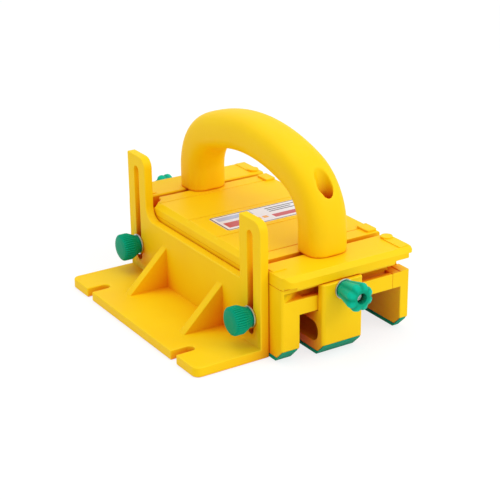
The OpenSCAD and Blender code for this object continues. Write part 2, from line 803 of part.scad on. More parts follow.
module center_leg() {
    window_l = (2 * plate_in_y - (window_count - 1) * window_post) / window_count;
    color(body_yellow) difference() {
        union() {
            both_ends() center_plate();
            block(
                [center_x0, -plate_in_y - over, pad_t],
                [center_x1, plate_in_y + over, center_top]
            );
        }
        for (i = [0 : window_count - 1]) {
            y = -plate_in_y + i * (window_l + window_post);
            along_x(center_x0 - over, center_x1 + over) round_rect(
                [y, pad_t + window_sill], [y + window_l, center_top - window_head], window_r
            );
            block(
                [center_x0 + center_wall, y, pad_t + center_wall],
                [center_x1 - center_wall, y + window_l, center_top + over]
            );
        }
        ramp_cut(center_x0, center_x1, plate_out_y);
        both_ends() rod_y(center_x, clamp_z, y_end, plate_out_y + over, hole_r);
    }
}

module center_pad() {
    pad(center_x0, center_x1, plate_out_y);
}

// T-bolt at the rear: flat head behind the lips, square neck between them and a threaded shank
module t_bolt() {
    head_y = y_end - tslot_lip - run_gap;
    head_h = tslot_gap + 2 * tslot_reach - 2 * run_gap;
    neck = tslot_gap - 2 * run_gap;
    color(steel) {
        block(
            [center_x - t_head_w / 2, head_y - t_head_t, clamp_z - head_h / 2],
            [center_x + t_head_w / 2, head_y, clamp_z + head_h / 2]
        );
        block(
            [center_x - neck / 2, head_y - over, clamp_z - neck / 2],
            [center_x + neck / 2, y_end, clamp_z + neck / 2]
        );
        rod_y(center_x, clamp_z, head_y, t_bolt_end_y, bolt_r);
    }
}

module front_t_bolt() {
    mirror([0, 1, 0]) t_bolt();
}

module rear_t_bolt() {
    t_bolt();
}

module clamp_washer() {
    color(steel) difference() {
        rod_y(center_x, clamp_z, plate_out_y, clamp_washer_y, clamp_washer_r);
        rod_y(center_x, clamp_z, plate_out_y - over, clamp_washer_y + over, bolt_r + seat_gap);
    }
}

module front_clamp_washer() {
    mirror([0, 1, 0]) clamp_washer();
}

module rear_clamp_washer() {
    clamp_washer();
}

// Clamp knob at the rear: a fluted taper with a rounded, bored end
module clamp_knob() {
    color(knob_green) difference() {
        translate([center_x, clamp_knob_y, clamp_z]) rotate([-90, 0, 0]) difference() {
            rotate_extrude() polygon([
                [0, 0], [clamp_neck_r, 0], [clamp_knob_r, clamp_wide_l],
                [clamp_knob_r - round_cut * clamp_round, clamp_knob_l - round_cut * clamp_round],
                [clamp_face_r, clamp_knob_l], [0, clamp_knob_l]
            ]);
            for (i = [0 : flute_count - 1]) rotate(360 * i / flute_count)
                translate([clamp_neck_r + flute_r - flute_d, 0, 0]) rotate([0, clamp_slope, 0])
                    translate([0, 0, -clamp_knob_l]) cylinder(h = 3 * clamp_knob_l, r = flute_r);
        }
        rod_y(center_x, clamp_z, clamp_knob_y - over, clamp_knob_y + bush_l, bush_r);
        rod_y(center_x, clamp_z, clamp_knob_y, clamp_knob_end_y + over, clamp_mouth_r);
    }
}

module front_clamp_knob() {
    mirror([0, 1, 0]) clamp_knob();
}

module rear_clamp_knob() {
    clamp_knob();
}

module knob_bush() {
    color(brass) difference() {
        rod_y(center_x, clamp_z, clamp_knob_y, clamp_knob_y + bush_l, bush_r);
        rod_y(center_x, clamp_z, clamp_knob_y - over, clamp_knob_y + bush_l + over, thread_r);
    }
}

module front_knob_bush() {
    mirror([0, 1, 0]) knob_bush();
}

module rear_knob_bush() {
    knob_bush();
}

// Wall and uprights of the balance support, drawn in Y and Z
module support_wall_outline() {
    translate([-support_y, 0]) square([support_l, support_wall_h]);
    for (y = [-support_y, support_y - upright_w]) {
        translate([y, 0]) square([upright_w, upright_h - upright_r]);
        translate([y + upright_r, 0]) square([upright_w - upright_r, upright_h]);
        translate([y + upright_r, upright_h - upright_r]) circle(upright_r);
    }
    translate([support_y - upright_w, support_wall_h]) mirror([1, 0]) fillet(upright_fillet);
}

// Slot for a knob's stud, drawn in Y and Z
module upright_slot(y) {
    r = upright_slot_w / 2;
    translate([y - r, upright_slot_z0 + r])
        square([upright_slot_w, upright_slot_z1 - upright_slot_z0 - upright_slot_w]);
    for (z = [upright_slot_z0 + r, upright_slot_z1 - r]) translate([y, z]) circle(r);
}

// Base plate of the balance support with two slots open to its outer edge
module support_plate_outline() {
    r = notch_w / 2;
    c = support_corner;
    difference() {
        union() {
            translate([support_edge_x + c, -support_y]) square([support_w - c, support_l]);
            translate([support_edge_x, -support_y + c]) square([support_w, support_l - 2 * c]);
            for (s = [-1, 1]) translate([support_edge_x + c, s * (support_y - c)]) circle(c);
        }
        for (s = [-1, 1]) {
            translate([support_edge_x - over, s * notch_y - r]) square([notch_l - r + over, notch_w]);
            translate([support_edge_x + notch_l - r, s * notch_y]) circle(r);
        }
    }
}

module balance_support() {
    color(body_yellow) difference() {
        union() {
            along_x(support_out_x, support_in_x) support_wall_outline();
            linear_extrude(support_plate_t) support_plate_outline();
            for (y = [-gusset_y, gusset_y - gusset_t]) along_y(y, y + gusset_t) polygon([
                [support_out_x + over, support_plate_t - over],
                [support_out_x - gusset_l, support_plate_t - over],
                [support_out_x - gusset_l, support_plate_t], [support_out_x, gusset_top],
                [support_out_x + over, gusset_top]
            ]);
        }
        along_x(support_out_x - over, support_in_x + over) for (s = [-1, 1]) upright_slot(s * support_knob_y);
    }
}

// Support knob at the rear: domed face, ridged rim and a taper to the neck
module support_knob() {
    rim_l = support_knob_l - support_dome;
    color(knob_green) difference() {
        intersection() {
            translate([support_washer_x, support_knob_y, support_knob_z]) rotate([0, -90, 0])
                rotate_extrude() polygon([
                    [0, 0], [support_neck_r, 0], [support_knob_r, support_taper_l], [support_knob_r, rim_l],
                    [support_knob_r - support_dome, rim_l + support_dome / 2],
                    [support_face_r, support_knob_l], [0, support_knob_l]
                ]);
            translate([support_washer_x, support_knob_y, support_knob_z]) rotate([0, -90, 0])
                linear_extrude(support_knob_l) difference() {
                    circle(support_knob_r + over);
                    for (i = [0 : ridge_count - 1]) rotate(360 * i / ridge_count)
                        translate([support_knob_r, 0]) circle(ridge_groove_r);
                }
        }
        rod_x(support_knob_y, support_knob_z, stud_out_x, support_washer_x + over, bolt_r);
    }
}

module front_support_knob() {
    mirror([0, 1, 0]) support_knob();
}

module rear_support_knob() {
    support_knob();
}

module support_stud() {
    color(steel) rod_x(support_knob_y, support_knob_z, stud_out_x, insert_x - stud_short, bolt_r);
}

module front_support_stud() {
    mirror([0, 1, 0]) support_stud();
}

module rear_support_stud() {
    support_stud();
}

module support_washer() {
    color(steel) difference() {
        x = support_washer_x;
        rod_x(support_knob_y, support_knob_z, x, x + washer_t, support_washer_r);
        rod_x(support_knob_y, support_knob_z, x - over, x + washer_t + over, bolt_r + seat_gap);
    }
}

module front_support_washer() {
    mirror([0, 1, 0]) support_washer();
}

module rear_support_washer() {
    support_washer();
}

main_chassis();
deck_cover();
deck_label();
front_crossbar();
rear_crossbar();
side_leg();
left_pad();
right_pad();
crossbar_screws();
deck_screws();
side_leg_screws();
support_inserts();
handle();
handle_bolts();
handle_washers();
handle_nuts();
center_leg();
center_pad();
front_t_bolt();
rear_t_bolt();
front_clamp_washer();
rear_clamp_washer();
front_clamp_knob();
rear_clamp_knob();
front_knob_bush();
rear_knob_bush();
balance_support();
front_support_knob();
rear_support_knob();
front_support_stud();
rear_support_stud();
front_support_washer();
rear_support_washer();
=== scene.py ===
"""Looks of a push block for feeding boards past a saw blade.

Yellow mouldings get soft moulded edges, the handle is swept, the knobs are turned and fluted,
and the fasteners get their recesses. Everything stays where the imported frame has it.
Sizes are in millimetres, apart from those that are said to be in metres.
"""

import logging
import math
from abc import ABC, abstractmethod
from dataclasses import dataclass, replace
from enum import Enum
from typing import Any, Iterable, Optional, Sequence

import bmesh
import bpy
from mathutils import Matrix, Vector


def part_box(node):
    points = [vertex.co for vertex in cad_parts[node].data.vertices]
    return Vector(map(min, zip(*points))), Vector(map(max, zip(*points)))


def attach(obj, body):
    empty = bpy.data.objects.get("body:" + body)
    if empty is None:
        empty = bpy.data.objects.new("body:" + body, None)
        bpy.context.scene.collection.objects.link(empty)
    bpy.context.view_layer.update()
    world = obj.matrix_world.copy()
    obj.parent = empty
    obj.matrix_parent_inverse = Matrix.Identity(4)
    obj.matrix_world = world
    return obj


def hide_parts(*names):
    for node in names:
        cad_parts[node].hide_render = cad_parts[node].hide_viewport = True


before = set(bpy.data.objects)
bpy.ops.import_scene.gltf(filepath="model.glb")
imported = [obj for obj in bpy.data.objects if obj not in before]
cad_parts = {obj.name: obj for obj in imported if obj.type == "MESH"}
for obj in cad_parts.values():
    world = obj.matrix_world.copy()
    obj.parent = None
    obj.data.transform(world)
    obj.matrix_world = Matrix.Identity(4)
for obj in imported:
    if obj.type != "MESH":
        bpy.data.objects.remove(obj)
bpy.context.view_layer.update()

LOG = logging.getLogger("push_block")
MM = 0.001
# Attribute that is 1 on the rounded outer edges of a shell and on the crests of a knob, where a painted
# highlight goes
RIM = "rim"
# Attribute that says how deep the flutes or ridges of a knob are at a point
FLUTE = "flute"
# Lengths below these count as none
NO_WIDTH = 1e-6
NO_RUN = 1e-9
WHITE = (1.0, 1.0, 1.0, 1.0)
FLOAT, VECTOR, WHOLE = "NodeSocketFloat", "NodeSocketVector", "NodeSocketInt"
MESH, MATERIAL = "NodeSocketGeometry", "NodeSocketMaterial"
Socket = bpy.types.NodeSocket
Color = tuple[float, float, float]
Place = tuple[float, float, float]
Span = tuple[float, float]


class Body(Enum):
    """Bodies of the frame that pieces ride on."""

    CHASSIS = "chassis"
    CENTER_LEG = "center_leg"
    FRONT_CLAMP = "front_clamp_knob"
    REAR_CLAMP = "rear_clamp_knob"
    SUPPORT = "balance_support"
    FRONT_SUPPORT_KNOB = "front_support_knob"
    REAR_SUPPORT_KNOB = "rear_support_knob"


class Slot(Enum):
    """Material slots of the record that pieces are made for."""

    BODY = "body_yellow"
    KNOB = "knob_green"
    PAD = "pad_green"
    STEEL = "steel"
    LABEL = "label"


class Axis(Enum):
    """Axis that a thread runs along, by its place in a vector."""

    X = 0
    Y = 1


class Recess(Enum):
    """Drive recess in the head of a fastener."""

    CROSS = "cross"
    HEX = "hex"


class Wiring:
    """Adds nodes to one tree and links them."""

    def __init__(self, tree: bpy.types.NodeTree) -> None:
        """Keeps the tree that the nodes go into.

        Args:
            tree: Shader or geometry node tree.
        """
        self.tree = tree

    def feed(self, node: bpy.types.Node, inputs: dict[Any, Any]) -> None:
        """Sets or links inputs of a node.

        Args:
            node: Node of the tree.
            inputs: Value, source socket or list of source sockets for each input, by its name or index.
        """
        for key, value in inputs.items():
            for one in value if isinstance(value, list) else [value]:
                if isinstance(one, Socket):
                    self.tree.links.new(one, node.inputs[key])
                else:
                    node.inputs[key].default_value = one

    def put(self, kind: str, inputs: Optional[dict[Any, Any]] = None, **settings: Any) -> bpy.types.Node:
        """Adds one node.

        Args:
            kind: Type name of the node.
            inputs: What goes into its inputs, as feed takes it.
            settings: Properties of the node.

        Returns:
            The new node.
        """
        node = self.tree.nodes.new(kind)
        for key, value in settings.items():
            setattr(node, key, value)
        self.feed(node, inputs or {})
        return node

    def math(self, operation: str, *values: Any, clamp: bool = False) -> Socket:
        """Adds a Math node.

        Args:
            operation: What the node does.
            values: Numbers or sockets that go in.
            clamp: Whether the result is held between 0 and 1.

        Returns:
            The socket with the result.
        """
        inputs = dict(enumerate(values))
        return self.put("ShaderNodeMath", inputs, operation=operation, use_clamp=clamp).outputs[0]

    def vector(self, operation: str, inputs: dict[Any, Any]) -> Socket:
        """Adds a Vector Math node and gives its vector."""
        return self.put("ShaderNodeVectorMath", inputs, operation=operation).outputs[0]

    def parts(self, vector: Socket) -> Sequence[Socket]:
        """Splits a vector into X, Y and Z."""
        return self.put("ShaderNodeSeparateXYZ", {0: vector}).outputs

    def join(self, *parts: Any) -> Socket:
        """Makes a vector of X, Y and Z, where those that are left out are 0."""
        return self.put("ShaderNodeCombineXYZ", dict(enumerate(parts))).outputs[0]

    def ramp(self, value: Socket, given: Span, wanted: Span = (0.0, 1.0)) -> Socket:
        """Maps a value from one range to another, and holds it within that one.

        Args:
            value: Socket that goes in.
            given: Start and end of its range.
            wanted: Start and end of the new range.

        Returns:
            The socket with the result.
        """
        return self.put("ShaderNodeMapRange", dict(enumerate((value, *given, *wanted)))).outputs[0]

    def noise(self, place: Socket, scale: Any, detail: float) -> Socket:
        """Adds a noise texture and gives its value."""
        inputs = {"Vector": place, "Scale": scale, "Detail": detail}
        return self.put("ShaderNodeTexNoise", inputs).outputs[0]

    def mix(self, factor: Any, low: Any, high: Any) -> Socket:
        """Mixes two colours.

        Args:
            factor: Share of the second colour.
            low: First colour or socket.
            high: Second colour or socket.

        Returns:
            The socket with the mixed colour.
        """
        sockets = {"Factor": factor, 6: low, 7: high}
        return self.put("ShaderNodeMix", sockets, data_type="RGBA").outputs[2]

    def bump(self, strength: float, distance: float, height: Socket) -> Socket:
        """Adds a Bump node and gives its normal."""
        inputs = {"Strength": strength, "Distance": distance * MM, "Height": height}
        return self.put("ShaderNodeBump", inputs).outputs[0]


def rgba(color: Color) -> tuple[float, float, float, float]:
    """Gives a colour its alpha."""
    return (*color, 1.0)


def bare_nodes(data: Any) -> Wiring:
    """Clears the nodes of a material or a world.

    Args:
        data: The material or the world.

    Returns:
        Its wiring.
    """
    data.use_nodes = True
    data.node_tree.nodes.clear()
    return Wiring(data.node_tree)


class SharedTree(ABC):
    """A node tree with named sockets that is built the first time it is asked for."""

    name: str
    kind: str
    inputs: dict[str, str]
    outputs: dict[str, str]

    def tree(self) -> bpy.types.NodeTree:
        """Makes the tree, or finds it if it is made already.

        Returns:
            The tree.
        """
        made = bpy.data.node_groups.get(self.name)
        if made:
            return made
        tree = bpy.data.node_groups.new(self.name, self.kind)
        for way, sockets in (("INPUT", self.inputs), ("OUTPUT", self.outputs)):
            for label, socket in sockets.items():
                tree.interface.new_socket(label, in_out=way, socket_type=socket)
        w = Wiring(tree)
        results = self.wire(w, w.put("NodeGroupInput").outputs)
        w.put("NodeGroupOutput", dict(enumerate(results)))
        return tree

    @abstractmethod
    def wire(self, w: Wiring, given: Any) -> Sequence[Socket]:
        """Adds the nodes.

        Args:
            w: Wiring of the tree.
            given: The tree's inputs.

        Returns:
            What goes to the tree's outputs, in their order.
        """


class Effect(SharedTree):
    """A shader effect that finishes share, each with its own values."""

    kind = "ShaderNodeTree"

    def place(self, w: Wiring, inputs: dict[str, Any]) -> Any:
        """Places the effect in a material and gives its outputs."""
        return w.put("ShaderNodeGroup", inputs, node_tree=self.tree()).outputs


@dataclass(frozen=True)
class MouldedGrain(Effect):
    """Fine moulded grain and slow clouds of tone."""

    name = "moulded_grain"
    inputs = {"Vector": VECTOR, "Grain Scale": FLOAT, "Cloud Scale": FLOAT}
    outputs = {"Height": FLOAT, "Tone": FLOAT}
    grain_detail: float = 2.0
    cloud_detail: float = 3.0

    def wire(self, w: Wiring, given: Any) -> Sequence[Socket]:
        """Gives the height of the grain and the tone of the clouds."""
        fine = w.noise(given["Vector"], given["Grain Scale"], self.grain_detail)
        return fine, w.noise(given["Vector"], given["Cloud Scale"], self.cloud_detail)


@dataclass(frozen=True)
class EdgeHighlight(Effect):
    """Painted highlight on rounded outer edges and on knob crests, uneven along them."""

    name = "edge_highlight"
    inputs = {"Vector": VECTOR, "Rim": FLOAT, "Amount": FLOAT}
    outputs = {"Highlight": FLOAT}
    patch_scale: float = 140.0
    patch_detail: float = 4.0
    # How much the painted highlight varies along a rim, and the least of it
    spread: float = 0.7
    least: float = 0.55

    def wire(self, w: Wiring, given: Any) -> Sequence[Socket]:
        """Paints an uneven highlight on the rims.

        Args:
            w: Wiring of the effect.
            given: The effect's inputs.

        Returns:
            The share that gets the painted highlight.
        """
        patch = w.noise(given["Vector"], self.patch_scale, self.patch_detail)
        uneven = w.math("MULTIPLY_ADD", patch, self.spread, self.least)
        strength = w.math("MULTIPLY", uneven, given["Amount"])
        return [w.math("MULTIPLY", given["Rim"], strength, clamp=True)]


@dataclass(frozen=True)
class Dust(Effect):
    """A trace of fine sawdust on faces that look up."""

    name = "dust"
    inputs = {"Vector": VECTOR, "Normal": VECTOR, "Amount": FLOAT}
    outputs = {"Mask": FLOAT}
    speck_scale: float = 420.0
    speck_detail: float = 5.0
    # How far a face looks up and how thick the specks lie, from no dust to full dust
    upward: Span = (0.55, 1.0)
    thickness: Span = (0.45, 0.75)

    def wire(self, w: Wiring, given: Any) -> Sequence[Socket]:
        """Lays specks on upward faces.

        Args:
            w: Wiring of the effect.
            given: The effect's inputs.

        Returns:
            The share that is dusty.
        """
        facing = w.ramp(w.parts(given["Normal"])[2], self.upward)
        specks = w.noise(given["Vector"], self.speck_scale, self.speck_detail)
        share = w.math("MULTIPLY", facing, w.ramp(specks, self.thickness))
        return [w.math("MULTIPLY", share, given["Amount"], clamp=True)]


class BarMask(Effect):
    """A printed rectangle in X and Y, whose mask is 1 inside it."""

    name = "printed_bar"
    inputs = {"Vector": VECTOR, "Middle": VECTOR, "Half Size": VECTOR}
    outputs = {"Mask": FLOAT}

    def wire(self, w: Wiring, given: Any) -> Sequence[Socket]:
        """Compares the distance from the middle with the half size.

        Args:
            w: Wiring of the effect.
            given: The effect's inputs.

        Returns:
            The mask.
        """
        away = w.vector("SUBTRACT", {0: given["Vector"], 1: given["Middle"]})
        away = w.vector("ABSOLUTE", {0: away})
        room = w.parts(w.vector("SUBTRACT", {0: given["Half Size"], 1: away}))
        return [w.math("GREATER_THAN", w.math("MINIMUM", room[0], room[1]), 0.0)]


GRAIN = MouldedGrain()
EDGE_HIGHLIGHT = EdgeHighlight()
DUST = Dust()
BAR_MASK = BarMask()


@dataclass(frozen=True, kw_only=True)
class Finish(ABC):
    """A finish with fine relief, and with a roughness that varies in slow clouds."""

    name: str
    roughness: float
    roughness_spread: float
    grain_scale: float
    cloud_scale: float
    relief: float
    relief_strength: float

    def material(self) -> bpy.types.Material:
        """Makes the material, or finds it if it is made already.

        Returns:
            The material.
        """
        made = bpy.data.materials.get(self.name)
        if made:
            return made
        material = bpy.data.materials.new(self.name)
        w = bare_nodes(material)
        place = w.put("ShaderNodeTexCoord").outputs["Object"]
        scales = {"Grain Scale": self.grain_scale, "Cloud Scale": self.cloud_scale}
        grain = GRAIN.place(w, {"Vector": place, **scales})
        least = self.roughness - self.roughness_spread / 2
        height = self.height(w, place, grain["Height"])
        shader = w.put("ShaderNodeBsdfPrincipled", {
            "Base Color": self.base(w, place, grain["Tone"]),
            "Roughness": w.math("MULTIPLY_ADD", grain["Tone"], self.roughness_spread, least),
            "Normal": w.bump(self.relief_strength, self.relief, height),
            **self.values(),
        })
        w.put("ShaderNodeOutputMaterial", {"Surface": shader.outputs[0]})
        return material

    @abstractmethod
    def base(self, w: Wiring, place: Socket, tone: Socket) -> Socket:
        """Makes the colour over the surface.

        Args:
            w: Wiring of the material.
            place: Object coordinates.
            tone: Tone of the slow clouds.

        Returns:
            The socket with the colour.
        """

    def height(self, w: Wiring, place: Socket, grain: Socket) -> Socket:
        """Gives the height of the relief, which is the plain grain unless a finish has more."""
        return grain

    def values(self) -> dict[str, float]:
        """Gives the values that are the same all over the surface, by the shader's sockets."""
        return {}


@dataclass(frozen=True, kw_only=True)
class MouldedPlastic(Finish):
    """Moulded plastic or rubber with clouds of two colours, a painted highlight on its edges, a painted shade
    in its hollows where it has one, and a trace of dust.
    """

    color: Color
    deep: Color
    # Edge is the colour of the painted highlight on rims and crests
    edge: Color
    roughness_spread: float = 0.12
    grain_scale: float = 2600.0
    cloud_scale: float = 22.0
    relief: float = 0.02
    relief_strength: float = 0.35
    # Tone of the clouds, from the deep colour to the other
    cloud_range: Span = (0.35, 0.65)
    highlight_amount: float = 0.5
    dust: Color = (0.80, 0.72, 0.55)
    dust_amount: float = 0.06
    specular: float = 0.5
    # Painted shade: a deep colour laid where little open sky is seen, as in slots, tunnels and inner corners,
    # and how far it looks
    painted_shade: Optional[Color] = None
    painted_shade_reach: float = 60.0
    # Share of open sky, from no painted shade to all of it
    painted_shade_range: Span = (0.51, 0.12)
    painted_shade_samples: int = 8

    def base(self, w: Wiring, place: Socket, tone: Socket) -> Socket:
        """Lays the painted edge highlight, dust and a painted shade in slots and corners over the clouds.

        Args:
            w: Wiring of the material.
            place: Object coordinates.
            tone: Tone of the slow clouds.

        Returns:
            The socket with the colour.
        """
        rim = w.put("ShaderNodeAttribute", attribute_name=RIM).outputs["Fac"]
        highlight = EDGE_HIGHLIGHT.place(w, {"Vector": place, "Rim": rim, "Amount": self.highlight_amount})
        normal = w.put("ShaderNodeNewGeometry").outputs["Normal"]
        dust = DUST.place(w, {"Vector": place, "Normal": normal, "Amount": self.dust_amount})
        base = w.mix(w.ramp(tone, self.cloud_range), rgba(self.deep), rgba(self.color))
        # Painted highlight on the marked rims and crests
        base = w.mix(highlight["Highlight"], base, rgba(self.edge))
        base = w.mix(dust["Mask"], base, rgba(self.dust))
        if not self.painted_shade:
            return base
        # Painted shade, deepest where the least open sky is seen
        reach = {"Distance": self.painted_shade_reach * MM}
        sky = w.put("ShaderNodeAmbientOcclusion", reach, samples=self.painted_shade_samples).outputs["AO"]
        return w.mix(w.ramp(sky, self.painted_shade_range), base, rgba(self.painted_shade))

    def values(self) -> dict[str, float]:
        """Gives the level of the gloss."""
        return {"Specular IOR Level": self.specular}


@dataclass(frozen=True, kw_only=True)
class PlatedMetal(Finish):
    """Plated or turned metal with fine scratches, and thread rings along one axis where it is threaded."""

    color: Color
    dull: Color
    roughness_spread: float = 0.2
    grain_scale: float = 1800.0
    cloud_scale: float = 160.0
    relief: float = 0.25
    relief_strength: float = 0.5
    # Height of the scratches as a share of the relief
    scratches: float = 0.15
    thread_axis: Optional[Axis] = None
    thread_pitch: float = 1.27
    metallic: float = 1.0

    def base(self, w: Wiring, place: Socket, tone: Socket) -> Socket:
        """Mixes dull and bright metal in clouds."""
        return w.mix(tone, rgba(self.dull), rgba(self.color))

    def height(self, w: Wiring, place: Socket, grain: Socket) -> Socket:
        """Adds the rings of a thread to the scratches.

        Args:
            w: Wiring of the material.
            place: Object coordinates.
            grain: Height of the grain.

        Returns:
            The socket with the height.
        """
        scratches = w.math("MULTIPLY", grain, self.scratches)
        if self.thread_axis is None:
            return scratches
        along = w.parts(place)[self.thread_axis.value]
        turn = w.math("MULTIPLY", along, 2 * math.pi / (self.thread_pitch * MM))
        return w.math("ADD", scratches, w.math("SINE", turn))

    def values(self) -> dict[str, float]:
        """Gives how metallic it is."""
        return {"Metallic": self.metallic}


@dataclass(frozen=True)
class PrintBar:
    """A printed rectangle, placed from the label's middle."""

    x: float
    y: float
    half_x: float
    half_y: float
    color: Color


@dataclass(frozen=True, kw_only=True)
class PrintedFilm(Finish):
    """Glossy white film with a thin dark border and plain printed bars.

    Its middle and half size are in metres.
    """

    middle: Vector
    half: Vector
    bars: tuple[PrintBar, ...]
    paper: Color = (0.82, 0.84, 0.92)
    border: Color = (0.05, 0.04, 0.08)
    margin: float = 0.4
    line: float = 1.2
    haze: Color = (0.5, 0.5, 0.52)
    haze_share: float = 0.08
    roughness: float = 0.255
    roughness_spread: float = 0.15
    grain_scale: float = 900.0
    cloud_scale: float = 60.0
    relief: float = 0.02
    relief_strength: float = 0.15

    def base(self, w: Wiring, place: Socket, tone: Socket) -> Socket:
        """Prints the border and the bars on the paper, under a slight haze.

        Args:
            w: Wiring of the material.
            place: Object coordinates.
            tone: Tone of the slow clouds.

        Returns:
            The socket with the colour.
        """
        outer, inner = (
            self._inside(w, place, self.middle, self.half - Vector((inset * MM, inset * MM, 0)))
            for inset in (self.margin, self.margin + self.line)
        )
        base = w.mix(w.math("SUBTRACT", outer, inner, clamp=True), rgba(self.paper), rgba(self.border))
        for bar in self.bars:
            middle = self.middle + Vector((bar.x * MM, bar.y * MM, 0))
            half = Vector((bar.half_x * MM, bar.half_y * MM, 0))
            base = w.mix(self._inside(w, place, middle, half), base, rgba(bar.color))
        return w.mix(w.math("MULTIPLY", tone, self.haze_share), base, rgba(self.haze))

    @staticmethod
    def _inside(w: Wiring, place: Socket, middle: Vector, half: Vector) -> Socket:
        """Places one rectangle and gives its mask."""
        return BAR_MASK.place(w, {"Vector": place, "Middle": middle, "Half Size": half})["Mask"]


# The yellow's deep orange is a painted shade in slots, tunnels and inner corners
# The yellow's edge colour is a painted highlight on its rims
YELLOW = MouldedPlastic(
    name="yellow_moulding", color=(0.97, 0.63, 0.002), deep=(0.95, 0.595, 0.001), edge=(0.98, 0.68, 0.015),
    roughness=0.48, dust_amount=0.01, specular=0.13, painted_shade=(0.84, 0.14, 0.003),
)
# The green's edge colour is a painted highlight on the knob crests and rims
KNOB_GREEN = MouldedPlastic(
    name="green_knob", color=(0.002, 0.35, 0.20), deep=(0.001, 0.31, 0.17), edge=(0.004, 0.60, 0.39),
    roughness=0.34, highlight_amount=0.7, dust_amount=0.0, specular=0.05,
)
# The rubber's edge colour is a painted highlight on the pad rims
PAD_GREEN = MouldedPlastic(
    name="green_rubber", color=(0.003, 0.31, 0.17), deep=(0.002, 0.26, 0.14), edge=(0.01, 0.38, 0.22),
    roughness=0.62, grain_scale=1500.0, relief=0.06, dust_amount=0.0, specular=0.08,
)
STEEL = PlatedMetal(name="plated_steel", color=(0.66, 0.67, 0.70), dull=(0.52, 0.53, 0.56), roughness=0.32)
THREADED_STEEL = replace(STEEL, name="threaded_steel_x", thread_axis=Axis.X)
BRASS = PlatedMetal(name="turned_brass", color=(0.74, 0.54, 0.22), dull=(0.60, 0.42, 0.16), roughness=0.30)
# Plated bolt, made near white and less metallic so that its end in the knob's bore shows a painted glint
LIGHTENED_BOLT = PlatedMetal(
    name="lightened_bolt", color=(0.95, 0.96, 0.98), dull=(0.88, 0.89, 0.91), roughness=0.45,
    thread_axis=Axis.Y, metallic=0.35,
)


def mesh_object(name: str, bm: bmesh.types.BMesh) -> bpy.types.Object:
    """Turns a bmesh into an object at the origin.

    Args:
        name: Name of the object and its mesh.
        bm: Mesh data, freed here.

    Returns:
        The new object.
    """
    mesh = bpy.data.meshes.new(name)
    bm.to_mesh(mesh)
    bm.free()
    mesh.shade_smooth()
    obj = bpy.data.objects.new(name, mesh)
    bpy.context.scene.collection.objects.link(obj)
    return obj


def settle(obj: bpy.types.Object) -> None:
    """Bakes an object's modifiers into a plain mesh.

    Args:
        obj: Object with modifiers.
    """
    graph = bpy.context.evaluated_depsgraph_get()
    shaped = obj.evaluated_get(graph)
    mesh = bpy.data.meshes.new_from_object(shaped, preserve_all_data_layers=True, depsgraph=graph)
    obj.modifiers.clear()
    old = obj.data
    obj.data = mesh
    bpy.data.meshes.remove(old)
    mesh.name = obj.name


def hand_over(obj: bpy.types.Object, finish: Finish, body: Body, nodes: Sequence[str]) -> None:
    """Dresses a finished piece and hands it to the frame.

    Args:
        obj: The piece.
        finish: Finish of the whole piece.
        body: Body that it rides on.
        nodes: Nodes that it stands for.
    """
    obj.data.materials.clear()
    obj.data.materials.append(finish.material())
    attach(obj, body.value)
    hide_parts(*nodes)
    faces = len(obj.data.polygons)
    LOG.info("%s stands for %s on %s, %d faces", obj.name, ", ".join(nodes), body.value, faces)


def dress_node(node: str, finish: Finish) -> None:
    """Gives a node that stays as it is a better material.

    Args:
        node: Name of the node.
        finish: Its finish.
    """
    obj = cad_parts[node]
    if not obj.material_slots:
        obj.data.materials.append(None)
    for slot in obj.material_slots:
        slot.material = finish.material()
    LOG.info("%s keeps its shape", node)


def solids(node: str, merge: float = 0.001) -> list[tuple[Vector, Vector]]:
    """Finds the separate solids of a node.

    Args:
        node: Name of the node.
        merge: Distance within which points are one.

    Returns:
        Lowest and highest corner of each solid.
    """
    bm = bmesh.new()
    bm.from_mesh(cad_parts[node].data)
    bmesh.ops.remove_doubles(bm, verts=bm.verts, dist=merge * MM)
    left = set(bm.verts)
    boxes = []
    while left:
        group = [left.pop()]
        for vert in group:
            near = {edge.other_vert(vert) for edge in vert.link_edges} & left
            left -= near
            group.extend(near)
        axes = list(zip(*(vert.co for vert in group)))
        boxes.append((Vector(map(min, axes)), Vector(map(max, axes))))
    bm.free()
    return sorted(boxes, key=lambda box: tuple(box[0]))


